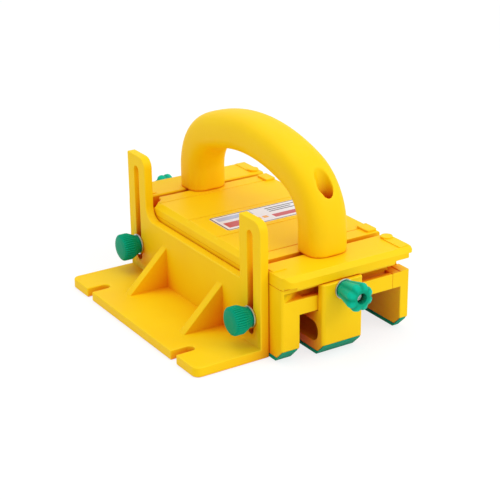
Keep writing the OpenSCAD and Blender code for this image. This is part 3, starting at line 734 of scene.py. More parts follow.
@dataclass
class Moulding:
    """A moulded or stamped piece: its node's shape with soft outer edges. Angles are in degrees."""

    node: str
    body: Body
    finish: Finish
    slot: Slot
    radius: float = 0.9
    steps: int = 3
    # Angle from which an edge shows, below which faces are one, and up to which a run of edges goes on
    sharp: float = 32.0
    flat: float = 0.4
    smooth_run: float = 30.0
    # Share of the room beside an edge that its rounding may take
    room_share: float = 0.42
    # Share of its length by which the next edge of a face leaves this one, to count as its far side
    far_share: float = 0.5
    merge: float = 0.002
    normal_weight: int = 60

    def build(self) -> bpy.types.Object:
        """Makes the piece and hands it to the frame.

        Returns:
            The piece.
        """
        bm = self._merged()
        self._weigh(bm)
        bm.edges.index_update()
        corners = [edge.index for edge in bm.edges if self._shows(edge) and not edge.is_convex]
        obj = mesh_object(f"{self.node}_shell", bm)
        for index in corners:
            obj.data.edges[index].use_edge_sharp = True
        self._soften(obj)
        self._mark_rims(obj.data)
        hand_over(obj, self.finish, self.body, [self.node])
        return obj

    def _merged(self) -> bmesh.types.BMesh:
        """Copies the node's loose triangles and joins them to flat faces.

        Returns:
            The copy.
        """
        bm = bmesh.new()
        bm.from_mesh(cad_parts[self.node].data)
        bmesh.ops.remove_doubles(bm, verts=bm.verts, dist=self.merge * MM)
        bmesh.ops.dissolve_degenerate(bm, edges=bm.edges, dist=self.merge * MM)
        bmesh.ops.dissolve_limit(
            bm, angle_limit=math.radians(self.flat), use_dissolve_boundaries=False,
            verts=bm.verts, edges=bm.edges,
        )
        return bm

    def _soften(self, obj: bpy.types.Object) -> None:
        """Rounds the weighted edges, which get the second material, and evens the normals.

        Args:
            obj: The piece.
        """
        obj.data.materials.append(None)
        obj.data.materials.append(None)
        bevel = obj.modifiers.new("soft_edges", "BEVEL")
        bevel.limit_method = "WEIGHT"
        bevel.offset_type = "OFFSET"
        bevel.width = self.radius * MM
        bevel.segments = self.steps
        bevel.use_clamp_overlap = False
        bevel.loop_slide = False
        bevel.material = 1
        smooth = obj.modifiers.new("even_normals", "WEIGHTED_NORMAL")
        smooth.weight = self.normal_weight
        smooth.keep_sharp = True
        settle(obj)

    def _shows(self, edge: bmesh.types.BMEdge) -> bool:
        """Says whether the faces beside an edge meet at an angle that shows."""
        return edge.calc_face_angle(0.0) > math.radians(self.sharp)

    def _weigh(self, bm: bmesh.types.BMesh) -> None:
        """Sets how far each run of sharp outer edges is rounded, within the faces beside it.

        Args:
            bm: Mesh whose edges are weighted.
        """
        layer = bm.edges.layers.float.new("bevel_weight_edge")
        left = {edge for edge in bm.edges if self._shows(edge) and edge.is_convex}
        marked = set(left)
        while left:
            run = [left.pop()]
            for edge in run:
                follow = {other for vert in edge.verts for other in self._next(edge, vert, marked)} & left
                left -= follow
                run.extend(follow)
            room = min(self._room(loop) for edge in run for loop in edge.link_loops)
            for edge in run:
                edge[layer] = min(1.0, self.room_share * room / (self.radius * MM))

    def _next(
        self, edge: bmesh.types.BMEdge, vert: bmesh.types.BMVert, marked: set[bmesh.types.BMEdge]
    ) -> list[bmesh.types.BMEdge]:
        """Finds the sharp edge that goes on smoothly past a vertex.

        Args:
            edge: Edge that ends at the vertex.
            vert: The vertex.
            marked: All sharp edges.

        Returns:
            That edge, or nothing where there are more or where the run turns.
        """
        others = [other for other in vert.link_edges if other in marked and other is not edge]
        if len(others) != 1:
            return []
        here = vert.co - edge.other_vert(vert).co
        ahead = others[0].other_vert(vert).co - vert.co
        return others if here.angle(ahead, math.pi) < math.radians(self.smooth_run) else []

    def _room(self, loop: bmesh.types.BMLoop) -> float:
        """Measures how wide a face is beside one of its edges.

        Args:
            loop: The edge on that face.

        Returns:
            The clear width.
        """
        start = loop.vert.co
        along = loop.link_loop_next.vert.co - start
        length = along.length
        along.normalize()
        inward = loop.face.normal.cross(along)
        widths = [max((vert.co - start).dot(inward) for vert in loop.face.verts)]
        for other in loop.face.loops:
            ends = [(vert.co - start) for vert in (other.vert, other.link_loop_next.vert)]
            spots = sorted((end.dot(along), end.dot(inward)) for end in ends)
            (low, low_width), (high, high_width) = spots
            if other in (loop, loop.link_loop_next, loop.link_loop_prev):
                far = max(low_width, high_width)
                widths += [far] if far > self.far_share * other.edge.calc_length() else []
            elif high > 0.0 and low < length:
                slope = (high_width - low_width) / max(high - low, NO_RUN)
                clipped = [low_width + slope * (min(max(spot, 0.0), length) - low) for spot in (low, high)]
                widths += [width for width in clipped if width > NO_WIDTH]
        return min(widths)

    @staticmethod
    def _mark_rims(mesh: bpy.types.Mesh) -> None:
        """Marks the rounded edges, which the rounding gave the second material, for the painted highlight.

        Args:
            mesh: Mesh of the piece.
        """
        layer = mesh.attributes.new(RIM, "FLOAT", "FACE")
        layer.data.foreach_set("value", [float(face.material_index) for face in mesh.polygons])
        mesh.polygons.foreach_set("material_index", [0] * len(mesh.polygons))


@dataclass
class Handle:
    """Arched handle: a rounded square section swept along legs, bends and a flatter crown.

    Its place comes from its node.
    """

    node: str = "handle"
    thickness: float = 32.6
    squareness: float = 2.7
    bend_radius: float = 43.0
    # Run, rise and length of the line from the middle of the crown to that of a bend
    crown_slope: tuple[float, float, float] = (44.0, 117.0, 125.0)
    bore: float = 6.5
    bore_seat: float = 92.0
    bore_sides: int = 72
    bolt_off: float = 2.2
    # Lean of a bore's mouth towards the crown, in degrees, and the mouth's radius at its far end
    mouth_lean: float = 15.0
    mouth_tip: float = 4.6
    around: int = 72
    spacing: float = 2.2
    grid: float = 0.8
    smooth_share: float = 0.5
    smooth_rounds: int = 10

    def build(self) -> bpy.types.Object:
        """Makes the handle and hands it to the frame.

        Returns:
            The handle.
        """
        low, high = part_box(self.node)
        obj = self._sweep(low, high)
        middle = (high.x + low.x) / 2
        bolt_y = high.y - self.thickness * MM / 2 + self.bolt_off * MM
        for sign in (-1, 1):
            self._drill(obj, Vector((middle, sign * bolt_y, self.bore_seat * MM)), high)
        remesh = obj.modifiers.new("even_grid", "REMESH")
        remesh.mode = "VOXEL"
        remesh.voxel_size = self.grid * MM
        smooth = obj.modifiers.new("soft_edges", "SMOOTH")
        smooth.factor = self.smooth_share
        smooth.iterations = self.smooth_rounds
        settle(obj)
        obj.data.shade_smooth()
        hand_over(obj, YELLOW, Body.CHASSIS, [self.node])
        return obj

    def _sweep(self, low: Vector, high: Vector) -> bpy.types.Object:
        """Sweeps the section from foot to foot.

        Args:
            low: Lowest corner of the handle.
            high: Highest corner of the handle.

        Returns:
            The handle without its bores.
        """
        middle = (high.x + low.x) / 2
        section = self._section((high.x - low.x) / 2)
        bm = bmesh.new()
        rings = []
        for y, z, out_y, out_z in self._path(low, high):
            points = [(middle + side, y + out * out_y, z + out * out_z) for out, side in section]
            rings.append([bm.verts.new(point) for point in points])
        for one, two in zip(rings, rings[1:]):
            for step in range(self.around):
                other = (step + 1) % self.around
                bm.faces.new((one[step], one[other], two[other], two[step]))
        bm.faces.new(rings[0])
        bm.faces.new(rings[-1])
        bmesh.ops.recalc_face_normals(bm, faces=bm.faces)
        return mesh_object("handle_grip", bm)

    def _section(self, width: float) -> list[Span]:
        """Lists the points of the rounded square section.

        Args:
            width: Half of its size in X, in metres.

        Returns:
            Place of each point outward and to the side, in metres.
        """
        half = self.thickness * MM / 2
        power = 2.0 / self.squareness
        section = []
        for step in range(self.around):
            turn = 2 * math.pi * step / self.around
            out, side = math.cos(turn), math.sin(turn)
            section.append((
                math.copysign(abs(out) ** power, out) * half, math.copysign(abs(side) ** power, side) * width
            ))
        return section

    def _bend(self, high: Vector) -> Span:
        """Finds the middle of the rear bend.

        Args:
            high: Highest corner of the handle.

        Returns:
            Its Y and Z.
        """
        half = self.thickness * MM / 2
        bend = self.bend_radius * MM
        run, rise, side = self.crown_slope
        bend_y = high.y - half - bend
        reach = bend_y * side / run
        return bend_y, high.z - half - bend - reach + reach * rise / side

    def _path(self, low: Vector, high: Vector) -> list[tuple[float, float, float, float]]:
        """Lists the middles of the sections from the front foot to the rear one.

        Args:
            low: Lowest corner of the handle.
            high: Highest corner of the handle.

        Returns:
            Y, Z and the outward direction in Y and Z, for each section.
        """
        bend = self.bend_radius * MM
        run, rise, side = self.crown_slope
        bend_y, bend_z = self._bend(high)
        reach = bend_y * side / run
        crown = bend + reach
        crown_z = bend_z - reach * rise / side
        tilt = math.atan2(rise, run)
        step = self.spacing * MM
        count = max(2, round((bend_z - low.z) / step))
        points = [(bend_y + bend, low.z + (bend_z - low.z) * i / count, 1.0, 0.0) for i in range(count)]
        arcs = ((bend_y, bend_z, bend, 0.0, tilt), (0.0, crown_z, crown, tilt, math.pi / 2))
        for y, z, radius, start, end in arcs:
            count = max(4, round(radius * (end - start) / step))
            for i in range(count):
                turn = start + (end - start) * i / count
                out_y, out_z = math.cos(turn), math.sin(turn)
                points.append((y + radius * out_y, z + radius * out_z, out_y, out_z))
        mirrored = [(-y, z, -out_y, out_z) for y, z, out_y, out_z in points]
        return mirrored + [(0.0, crown_z + crown, 0.0, 1.0)] + points[::-1]

    def _drill(self, obj: bpy.types.Object, seat: Vector, high: Vector) -> None:
        """Cuts one counterbore, and its mouth that leans towards the crown.

        Args:
            obj: The handle.
            seat: Middle of the bore's floor.
            high: Highest corner of the handle.
        """
        radius = self.bore * MM
        self._cut(obj, Matrix.Translation(seat), (radius, radius), high.z - seat.z + radius)
        lean = math.copysign(math.radians(self.mouth_lean), seat.y)
        rim = self._rim(seat.y, high)
        mouth = Matrix.Translation((seat.x, seat.y, rim)) @ Matrix.Rotation(lean, 4, "X")
        self._cut(obj, mouth, (radius, self.mouth_tip * MM), high.z - rim)

    def _rim(self, bolt_y: float, high: Vector) -> float:
        """Finds the level of a bore's lower rim.

        Args:
            bolt_y: Place of the bore's axis.
            high: Highest corner of the handle.

        Returns:
            The level, on the outside of the bend.
        """
        bend_y, bend_z = self._bend(high)
        outer = (self.bend_radius + self.thickness / 2) * MM
        across = abs(bolt_y) + self.bore * MM - bend_y
        return min(high.z, bend_z + math.sqrt(max(outer**2 - across**2, 0.0)))

    def _cut(self, obj: bpy.types.Object, place: Matrix, radii: Span, depth: float) -> None:
        """Cuts a cone out of the handle and bakes it.

        Args:
            obj: The handle.
            place: Place of the cone's wide end, with its axis on Z.
            radii: Radius at the wide end and at the tip, in metres.
            depth: Length of the cone, in metres.
        """
        bm = bmesh.new()
        bmesh.ops.create_cone(
            bm, cap_ends=True, segments=self.bore_sides, radius1=radii[0], radius2=radii[1], depth=depth,
            matrix=place @ Matrix.Translation((0, 0, depth / 2)),
        )
        cutter = mesh_object("bore_cutter", bm)
        cut = obj.modifiers.new("bore", "BOOLEAN")
        cut.operation = "DIFFERENCE"
        cut.solver = "EXACT"
        cut.object = cutter
        settle(obj)
        bpy.data.objects.remove(cutter)


def rounded_profile(points: Sequence[Place], steps: int = 5) -> list[Span]:
    """Rounds the corners of a profile.

    Args:
        points: Radius, height and corner radius of each point.
        steps: Pieces in each rounded corner.

    Returns:
        Radius and height of each point of the rounded profile.
    """
    made = []
    for index, (r, z, corner) in enumerate(points):
        here = Vector((r, z))
        if corner <= 0.0 or index in (0, len(points) - 1):
            made.append((r, z))
            continue
        back = (Vector(points[index - 1][:2]) - here).normalized()
        ahead = (Vector(points[index + 1][:2]) - here).normalized()
        opening = back.angle(ahead)
        reach = corner / math.tan(opening / 2)
        for step in range(steps + 1):
            share = step / steps
            start, end = here + back * reach, here + ahead * reach
            along = start.lerp(here, share).lerp(here.lerp(end, share), share)
            made.append((along.x, along.y))
    return made


def turned(
    name: str, profile: Sequence[Span], sides: int, deep: Sequence[float], closed: bool
) -> bpy.types.Object:
    """Turns a profile about Z.

    Args:
        name: Name of the object.
        profile: Radius and height of each point.
        sides: Steps around the axis.
        deep: Share of the flutes' depth at each point.
        closed: Whether the last point joins the first, as on a ring.

    Returns:
        The turned piece, with its axis on Z.
    """
    bm = bmesh.new()
    layer = bm.verts.layers.float.new(FLUTE)
    rings = []
    for (r, z), share in zip(profile, deep):
        ring = []
        for step in range(sides if r > NO_WIDTH else 1):
            turn = 2 * math.pi * step / sides
            vert = bm.verts.new((r * MM * math.cos(turn), r * MM * math.sin(turn), z * MM))
            vert[layer] = share
            ring.append(vert)
        rings.append(ring)
    pairs = list(zip(rings, rings[1:])) + ([(rings[-1], rings[0])] if closed else [])
    for one, two in pairs:
        for step in range(sides):
            other = (step + 1) % sides
            near = [one[step % len(one)], one[other % len(one)]]
            far = [two[other % len(two)], two[step % len(two)]]
            bm.faces.new(list(dict.fromkeys(near + far)))
    bmesh.ops.recalc_face_normals(bm, faces=bm.faces)
    return mesh_object(name, bm)


class GeometryTree(SharedTree):
    """A geometry tree that ends in real meshes in one material."""

    kind = "GeometryNodeTree"
    outputs = {"Geometry": MESH}

    def wire(self, w: Wiring, given: Any) -> Sequence[Socket]:
        """Makes the geometry, turns its instances into meshes and dresses it.

        Args:
            w: Wiring of the tree.
            given: The tree's inputs.

        Returns:
            The geometry.
        """
        real = w.put("GeometryNodeRealizeInstances", {0: self.shape(w, given)}).outputs[0]
        dressed = w.put("GeometryNodeSetMaterial", {"Geometry": real, "Material": given["Material"]})
        return [dressed.outputs[0]]

    @abstractmethod
    def shape(self, w: Wiring, given: Any) -> Socket:
        """Makes the geometry.

        Args:
            w: Wiring of the tree.
            given: The tree's inputs.

        Returns:
            The socket with the geometry.
        """

    def run_on(self, obj: bpy.types.Object, inputs: dict[str, Any]) -> None:
        """Runs the tree on an object and bakes the result.

        Args:
            obj: Object that the tree works on.
            inputs: Value of each named input.
        """
        tree = self.tree()
        modifier = obj.modifiers.new(tree.name, "NODES")
        modifier.node_group = tree
        for item in tree.interface.items_tree:
            if item.item_type == "SOCKET" and item.in_out == "INPUT" and item.name in inputs:
                modifier[item.identifier] = inputs[item.name]
        settle(obj)


class PressedFlutes(GeometryTree):
    """Presses flutes or ridges into a turned piece and marks the crests between them for a painted highlight.
    """

    name = "pressed_flutes"
    inputs = {
        "Geometry": MESH, "Count": WHOLE, "Depth": FLOAT, "Sharpness": FLOAT, "Crest Highlight": FLOAT,
        "Material": MATERIAL,
    }

    def shape(self, w: Wiring, given: Any) -> Socket:
        """Moves points towards the axis in a wave around it.

        Args:
            w: Wiring of the tree.
            given: The tree's inputs.

        Returns:
            The socket with the geometry.
        """
        spot = w.parts(w.put("GeometryNodeInputPosition").outputs[0])
        turn = w.math("MULTIPLY", w.math("ARCTAN2", spot[1], spot[0]), given["Count"])
        wave = w.math("MULTIPLY_ADD", w.math("COSINE", turn), 0.5, 0.5)
        press = w.math("POWER", wave, given["Sharpness"])
        share = w.put("GeometryNodeInputNamedAttribute", {"Name": FLUTE}, data_type="FLOAT").outputs[0]
        depth = w.math("MULTIPLY", w.math("MULTIPLY", press, share), given["Depth"])
        outward = w.vector("NORMALIZE", {0: w.join(spot[0], spot[1])})
        inward = w.vector("SCALE", {0: outward, "Scale": w.math("MULTIPLY", depth, -1.0)})
        moved = w.put("GeometryNodeSetPosition", {"Geometry": given["Geometry"], "Offset": inward}).outputs[0]
        # Crest mark for the painted highlight, strongest where the flutes press least
        raised = w.math("MULTIPLY", w.math("SUBTRACT", 1.0, press), share)
        crest_highlight = {"Geometry": moved, "Name": RIM, "Value": w.math("MULTIPLY", raised, given["Crest Highlight"])}
        return w.put("GeometryNodeStoreNamedAttribute", crest_highlight, data_type="FLOAT", domain="POINT").outputs[0]


@dataclass(frozen=True)
class KnobShape:
    """Shape of one kind of turned knob with pressed flutes or ridges."""

    # Radius, height and corner radius of each point, and whether the last one joins the first
    profile: tuple[Place, ...]
    closed: bool
    # Radii and heights over which the flutes come in
    flute_radii: Span
    flute_heights: Span
    count: int
    depth: float
    sharpness: float
    # How strongly the crests get the painted highlight, from 0 to 1
    crest_highlight: float
    sides_per_flute: int

    def share(self, r: float, z: float) -> float:
        """Works out how deep the flutes are at one point of the profile.

        Args:
            r: Radius of the point.
            z: Height of the point.

        Returns:
            Share of the full depth.
        """
        inner, outer = self.flute_radii
        low, high = self.flute_heights
        by_radius = min(1.0, max(0.0, (r - inner) / (outer - inner)))
        by_height = min(1.0, max(0.0, (z - low) / (high - low)))
        return by_radius * by_height


# A fluted taper with a bored end
CLAMP_KNOB = KnobShape(
    profile=(
        (5.175, 0.0, 0.0), (7.4, 0.0, 0.5), (11.8, 18.3, 2.8), (10.63, 21.13, 0.9), (7.8, 22.3, 0.4),
        (6.6, 22.3, 0.0), (4.35, 22.3, 0.5), (4.3, 14.0, 0.0), (5.175, 14.0, 0.0),
    ),
    closed=True, flute_radii=(6.0, 8.4), flute_heights=(-1.0, 1.5), count=8, depth=1.3, sharpness=1.8,
    crest_highlight=1.0, sides_per_flute=24,
)
# A domed face, a ridged rim and a taper to the neck
SUPPORT_KNOB = KnobShape(
    profile=(
        (0.0, 8.5, 0.0), (3.175, 8.5, 0.0), (3.175, 0.0, 0.0), (7.6, 0.0, 0.5), (11.6, 8.5, 2.0),
        (11.6, 15.4, 1.4), (9.6, 16.6, 1.0), (5.8, 17.0, 2.0), (0.0, 17.0, 0.0),
    ),
    closed=False, flute_radii=(9.4, 11.2), flute_heights=(3.0, 7.0), count=36, depth=1.2, sharpness=1.4,
    crest_highlight=0.3, sides_per_flute=8,
)


@dataclass
class FlutedKnob:
    """A knob of one shape, which points along its axis and is placed from its node."""

    node: str
    body: Body
    axis: Vector
    shape: KnobShape

    def build(self) -> bpy.types.Object:
        """Makes the knob and hands it to the frame.

        Returns:
            The knob.
        """
        shape = self.shape
        profile = rounded_profile(shape.profile)
        deep = [shape.share(r, z) for r, z in profile]
        sides = shape.count * shape.sides_per_flute
        obj = turned(f"{self.node}_grip", profile, sides, deep, shape.closed)
        PressedFlutes().run_on(obj, {
            "Count": shape.count, "Depth": shape.depth * MM, "Sharpness": shape.sharpness,
            "Crest Highlight": shape.crest_highlight, "Material": KNOB_GREEN.material(),
        })
        obj.data.transform(self._place())
        obj.data.update()
        obj.data.shade_smooth()
        hand_over(obj, KNOB_GREEN, self.body, [self.node])
        return obj

    def _place(self) -> Matrix:
        """Works out the move from the turned piece's own place to the node's.

        Returns:
            The move.
        """
        low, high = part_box(self.node)
        length = abs(self.axis.dot(high - low))
        base = (low + high) / 2 - self.axis * length / 2
        turn = Vector((0, 0, 1)).rotation_difference(self.axis)
        return Matrix.Translation(base) @ turn.to_matrix().to_4x4()


@dataclass
class FastenerTree(GeometryTree):
    """Puts a fastener with a drive recess on each point."""

    recess: Recess
    head_sides: int = 48
    shank_sides: int = 32
    hex_sides: int = 6
    # Width of a cross recess as a share of its size
    cross_width: float = 0.3
    inputs = {
        "Geometry": MESH, "Head Radius": FLOAT, "Head Height": FLOAT, "Shank Radius": FLOAT,
        "Shank Length": FLOAT, "Recess Size": FLOAT, "Recess Depth": FLOAT, "Chamfer": FLOAT,
        "Turn": VECTOR, "Material": MATERIAL,
    }

    def __post_init__(self) -> None:
        """Names the tree for its recess."""
        self.name = f"{self.recess.value}_fastener"

    def shape(self, w: Wiring, given: Any) -> Socket:
        """Cuts the recess and puts the fastener on each point.

        Args:
            w: Wiring of the tree.
            given: The tree's inputs.

        Returns:
            The socket with the geometry.
        """
        tools = [self._lifted(w, tool, given["Head Height"]) for tool in self._tools(w, given)]
        solid = {0: self._blank(w, given), 1: tools}
        cut = w.put("GeometryNodeMeshBoolean", solid, operation="DIFFERENCE", solver="EXACT").outputs[0]
        places = {"Points": given["Geometry"], "Instance": cut, "Rotation": given["Turn"]}
        return w.put("GeometryNodeInstanceOnPoints", places).outputs[0]

    def _blank(self, w: Wiring, given: Any) -> Socket:
        """Joins the head, its chamfered rim and the shank.

        Args:
            w: Wiring of the tree.
            given: The tree's inputs.

        Returns:
            The fastener without its recess.
        """
        head, chamfer, shank = given["Head Radius"], given["Chamfer"], given["Shank Length"]
        straight = w.math("SUBTRACT", given["Head Height"], chamfer)
        drum = self._drum(w, self.head_sides, head, straight)
        rim = w.put("GeometryNodeMeshCone", {
            "Vertices": self.head_sides, "Radius Bottom": head, "Depth": chamfer,
            "Radius Top": w.math("SUBTRACT", head, chamfer),
        }).outputs[0]
        stem = self._drum(w, self.shank_sides, given["Shank Radius"], w.math("ADD", shank, straight))
        drop = w.math("MULTIPLY", w.math("SUBTRACT", straight, shank), 0.5)
        levels = ((drum, w.math("MULTIPLY", straight, 0.5)), (rim, straight), (stem, drop))
        bodies = [self._lifted(w, mesh, level) for mesh, level in levels]
        return w.put("GeometryNodeMeshBoolean", {1: bodies}, operation="UNION", solver="EXACT").outputs[0]

    def _tools(self, w: Wiring, given: Any) -> list[Socket]:
        """Makes what cuts the recess.

        Args:
            w: Wiring of the tree.
            given: The tree's inputs.

        Returns:
            The cutters, about the origin.
        """
        wide = given["Recess Size"]
        deep = w.math("MULTIPLY", given["Recess Depth"], 2.0)
        if self.recess is Recess.HEX:
            return [self._drum(w, self.hex_sides, wide, deep)]
        thin = w.math("MULTIPLY", wide, self.cross_width)
        spans = (w.join(wide, thin, deep), w.join(thin, wide, deep))
        return [w.put("GeometryNodeMeshCube", {"Size": span}).outputs[0] for span in spans]

    @staticmethod
    def _lifted(w: Wiring, mesh: Socket, height: Socket) -> Socket:
        """Moves a mesh along Z."""
        lift = {"Geometry": mesh, "Translation": w.put("ShaderNodeCombineXYZ", {2: height}).outputs[0]}
        return w.put("GeometryNodeTransform", lift).outputs[0]

    @staticmethod
    def _drum(w: Wiring, sides: int, radius: Socket, depth: Socket) -> Socket:
        """Makes a cylinder or a prism about Z."""
        sizes = {"Vertices": sides, "Radius": radius, "Depth": depth}
        return w.put("GeometryNodeMeshCylinder", sizes).outputs[0]


@dataclass(frozen=True)
class FastenerShape:
    """Sizes of one kind of screw or bolt."""

    recess: Recess
    head_height: float
    shank_radius: float
    # Length of a cross, or radius of a hexagon
    recess_size: float
    recess_depth: float
    chamfer: float
    head_down: bool


HANDLE_BOLT = FastenerShape(
    Recess.HEX, head_height=6.35, shank_radius=3.175, recess_size=2.75, recess_depth=3.0, chamfer=0.6,
    head_down=False,
)
CROSS_SCREW = FastenerShape(
    Recess.CROSS, head_height=2.4, shank_radius=1.6, recess_size=3.4, recess_depth=1.3, chamfer=0.7,
    head_down=True,
)


@dataclass
class Fasteners:
    """A group of like screws or bolts, placed from their node's solids."""

    node: str
    shape: FastenerShape

    def build(self) -> bpy.types.Object:
        """Makes the fasteners and hands them to the frame.

        Returns:
            The group of fasteners.
        """
        shape = self.shape
        head = shape.head_height * MM
        boxes = solids(self.node)
        bm = bmesh.new()
        for low, high in boxes:
            seat = low.z + head if shape.head_down else high.z - head
            bm.verts.new(((low.x + high.x) / 2, (low.y + high.y) / 2, seat))
        obj = mesh_object(f"{self.node}_turned", bm)
        low, high = boxes[0]
        FastenerTree(shape.recess).run_on(obj, {
            "Head Radius": (high.x - low.x) / 2, "Head Height": head,
            "Shank Radius": shape.shank_radius * MM, "Shank Length": high.z - low.z - head,
            "Recess Size": shape.recess_size * MM, "Recess Depth": shape.recess_depth * MM,
            "Chamfer": shape.chamfer * MM, "Turn": (math.pi if shape.head_down else 0.0, 0.0, 0.0),
            "Material": STEEL.material(),
        })
        obj.data.shade_flat()
        hand_over(obj, STEEL, Body.CHASSIS, [self.node])
        return obj


@dataclass
class DeckLabel:
    """Printed film on the deck with plain bars, which are placed from its middle."""

    node: str = "deck_label"
    radius: float = 0.12
    steps: int = 2
    red: Color = (0.55, 0.02, 0.03)
    orange: Color = (0.85, 0.36, 0.02)
    blue: Color = (0.42, 0.50, 0.76)
    ink: Color = (0.04, 0.04, 0.07)
    # Middle and half size of the blue band and the red blocks
    band: tuple[float, float, float, float] = (-22.5, 8.5, 17.0, 3.6)
    blocks: tuple[tuple[float, float, float, float], ...] = ((-30.0, -5.5, 9.0, 5.5), (23.0, -7.5, 17.0, 3.5))
    squares: int = 3
    square_start: Span = (-15.0, -5.5)
    square_half: float = 2.4
    square_pitch: float = 7.0
    rules: int = 3
    rule_start: Span = (8.0, 10.0)
    rule_half: Span = (15.0, 0.8)
    # What every second rule is shorter by, at each end
    rule_cut: float = 3.0
    rule_pitch: float = 3.6

    def build(self) -> bpy.types.Object:
        """Makes the label and hands it to the frame.

        Returns:
            The label.
        """
        low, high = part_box(self.node)
        film = PrintedFilm(
            name="printed_film", middle=(low + high) / 2, half=(high - low) / 2, bars=self._bars()
        )
        return Moulding(
            self.node, Body.CHASSIS, film, Slot.LABEL, radius=self.radius, steps=self.steps
        ).build()

    def _bars(self) -> tuple[PrintBar, ...]:
        """Lays out the printed bars.

        Returns:
            The bars, in the order in which they are printed.
        """
        bars = [PrintBar(*self.band, self.blue)]
        bars += [PrintBar(*block, self.red) for block in self.blocks]
        x, y = self.square_start
        half = self.square_half
        for index in range(self.squares):
            bars.append(PrintBar(x + self.square_pitch * index, y, half, half, self.orange))
        (x, y), (longest, half) = self.rule_start, self.rule_half
        for index in range(self.rules):
            length = longest - self.rule_cut * (index % 2)
            bars.append(PrintBar(x + length, y - self.rule_pitch * index, length, half, self.ink))
        return tuple(bars)


@dataclass(frozen=True)
class Lamp:
    """A square soft lamp. Its place and side are in metres and its power in watts."""

    name: str
    place: Place
    side: float
    power: float


@dataclass
class Studio:
    """Plain pale floor, soft light and the photograph's camera."""

    # Camera: its place, the direction back from the object, and the photograph's measures in pixels
    eye: Place = (-593.2, -926.8, 489.9)
    back: Place = (-0.5143, -0.7678, 0.382)
    focal_px: float = 1410.0
    middle_px: Span = (289.1, 255.4)
    image_px: float = 500.0
    sensor: float = 36.0
    lamps: tuple[Lamp, ...] = (
        Lamp("key_light", (0.75, -1.15, 1.35), 1.1, 11.0),
        Lamp("top_light", (-0.25, 0.25, 1.7), 1.2, 6.0),
    )
    # Point that the lamps look at, in metres
    aim: Place = (0.0, 0.0, 0.06)
    # Strength of the light from all around, and of the white that shows behind the object
    ambient: float = 0.77
    backdrop: float = 1.0
    # Half size of the floor in metres, how far it lies below the soles, and its looks
    floor_half: float = 4.0
    floor_drop: float = 0.4
    floor_color: Color = (0.9, 0.9, 0.9)
    floor_glow: float = 1.08
    floor_glow_share: float = 0.72

    def build(self) -> None:
        """Makes the camera, the world, the floor and the lamps."""
        self._camera()
        self._world()
        self._floor()
        for lamp in self.lamps:
            self._hang(lamp)
        bpy.context.scene.view_settings.view_transform = "Standard"

    def _camera(self) -> None:
        """Puts the camera where the photograph was taken from."""
        data = bpy.data.cameras.new("photo_camera")
        data.sensor_width = self.sensor
        data.lens = self.focal_px / self.image_px * self.sensor
        half = self.image_px / 2
        data.shift_x = (half - self.middle_px[0]) / self.image_px
        data.shift_y = (self.middle_px[1] - half) / self.image_px
        camera = bpy.data.objects.new("photo_camera", data)
        camera.location = Vector(self.eye) * MM
        camera.rotation_mode = "QUATERNION"
        camera.rotation_quaternion = (-Vector(self.back)).to_track_quat("-Z", "Y")
        bpy.context.scene.collection.objects.link(camera)
        bpy.context.scene.camera = camera

    def _hang(self, lamp: Lamp) -> None:
        """Adds a lamp that looks at the object.

        Args:
            lamp: The lamp.
        """
        data = bpy.data.lights.new(lamp.name, "AREA")
        data.size = lamp.side
        data.energy = lamp.power
        obj = bpy.data.objects.new(lamp.name, data)
        obj.location = lamp.place
        obj.rotation_mode = "QUATERNION"
        obj.rotation_quaternion = (Vector(self.aim) - Vector(lamp.place)).to_track_quat("-Z", "Y")
        bpy.context.scene.collection.objects.link(obj)

    @staticmethod
    def _seen(w: Wiring) -> Socket:
        """Tells rays that show the backdrop, which are camera, glossy and transmitted ones, from the rest.

        Args:
            w: Wiring of a material or of the world.

        Returns:
            The socket that is 1 for these rays.
        """
        path = w.put("ShaderNodeLightPath").outputs
        shown = w.math("MAXIMUM", path["Is Camera Ray"], path["Is Glossy Ray"])
        return w.math("MAXIMUM", shown, path["Is Transmission Ray"])

    def _world(self) -> None:
        """Lights the object evenly from all around and shows white behind it."""
        world = bpy.data.worlds.new("soft_room")
        w = bare_nodes(world)
        strength = w.ramp(self._seen(w), (0.0, 1.0), (self.ambient, self.backdrop))
        light = w.put("ShaderNodeBackground", {"Color": WHITE, "Strength": strength})
        w.put("ShaderNodeOutputWorld", {"Surface": light.outputs[0]})
        bpy.context.scene.world = world

    def _floor(self) -> None:
        """Lays a white floor that keeps a soft shadow of the object."""
        bm = bmesh.new()
        bmesh.ops.create_grid(bm, x_segments=1, y_segments=1, size=self.floor_half)
        bmesh.ops.translate(bm, verts=bm.verts, vec=(0, 0, -self.floor_drop * MM))
        floor = mesh_object("studio_floor", bm)
        material = bpy.data.materials.new("pale_floor")
        w = bare_nodes(material)
        paper = w.put("ShaderNodeBsdfDiffuse", {"Color": rgba(self.floor_color)})
        glow = w.put("ShaderNodeEmission", {"Color": WHITE, "Strength": self.floor_glow})
        share = w.math("MULTIPLY", self._seen(w), self.floor_glow_share)
        both = w.put("ShaderNodeMixShader", {0: share, 1: paper.outputs[0], 2: glow.outputs[0]})
        w.put("ShaderNodeOutputMaterial", {"Surface": both.outputs[0]})
        floor.data.materials.append(material)


@dataclass
class ChassisGroup:
    """Chassis with its crossbars, side leg, deck and label."""

    deck_radius: float = 1.7
    deck_steps: int = 4

    def build(self) -> None:
        """Builds the pieces in order."""
        for node in ("main_chassis", "front_crossbar", "rear_crossbar", "side_leg"):
            Moulding(node, Body.CHASSIS, YELLOW, Slot.BODY).build()
        Moulding(
            "deck_cover", Body.CHASSIS, YELLOW, Slot.BODY, radius=self.deck_radius, steps=self.deck_steps
        ).build()
        DeckLabel().build()


@dataclass
class PadGroup:
    """Grip pads under the three legs."""

    radius: float = 0.5

    def build(self) -> None:
        """Builds the pads in order."""
        places = {"left_pad": Body.CHASSIS, "right_pad": Body.CHASSIS, "center_pad": Body.CENTER_LEG}
        for node, body in places.items():
            Moulding(node, body, PAD_GREEN, Slot.PAD, radius=self.radius).build()


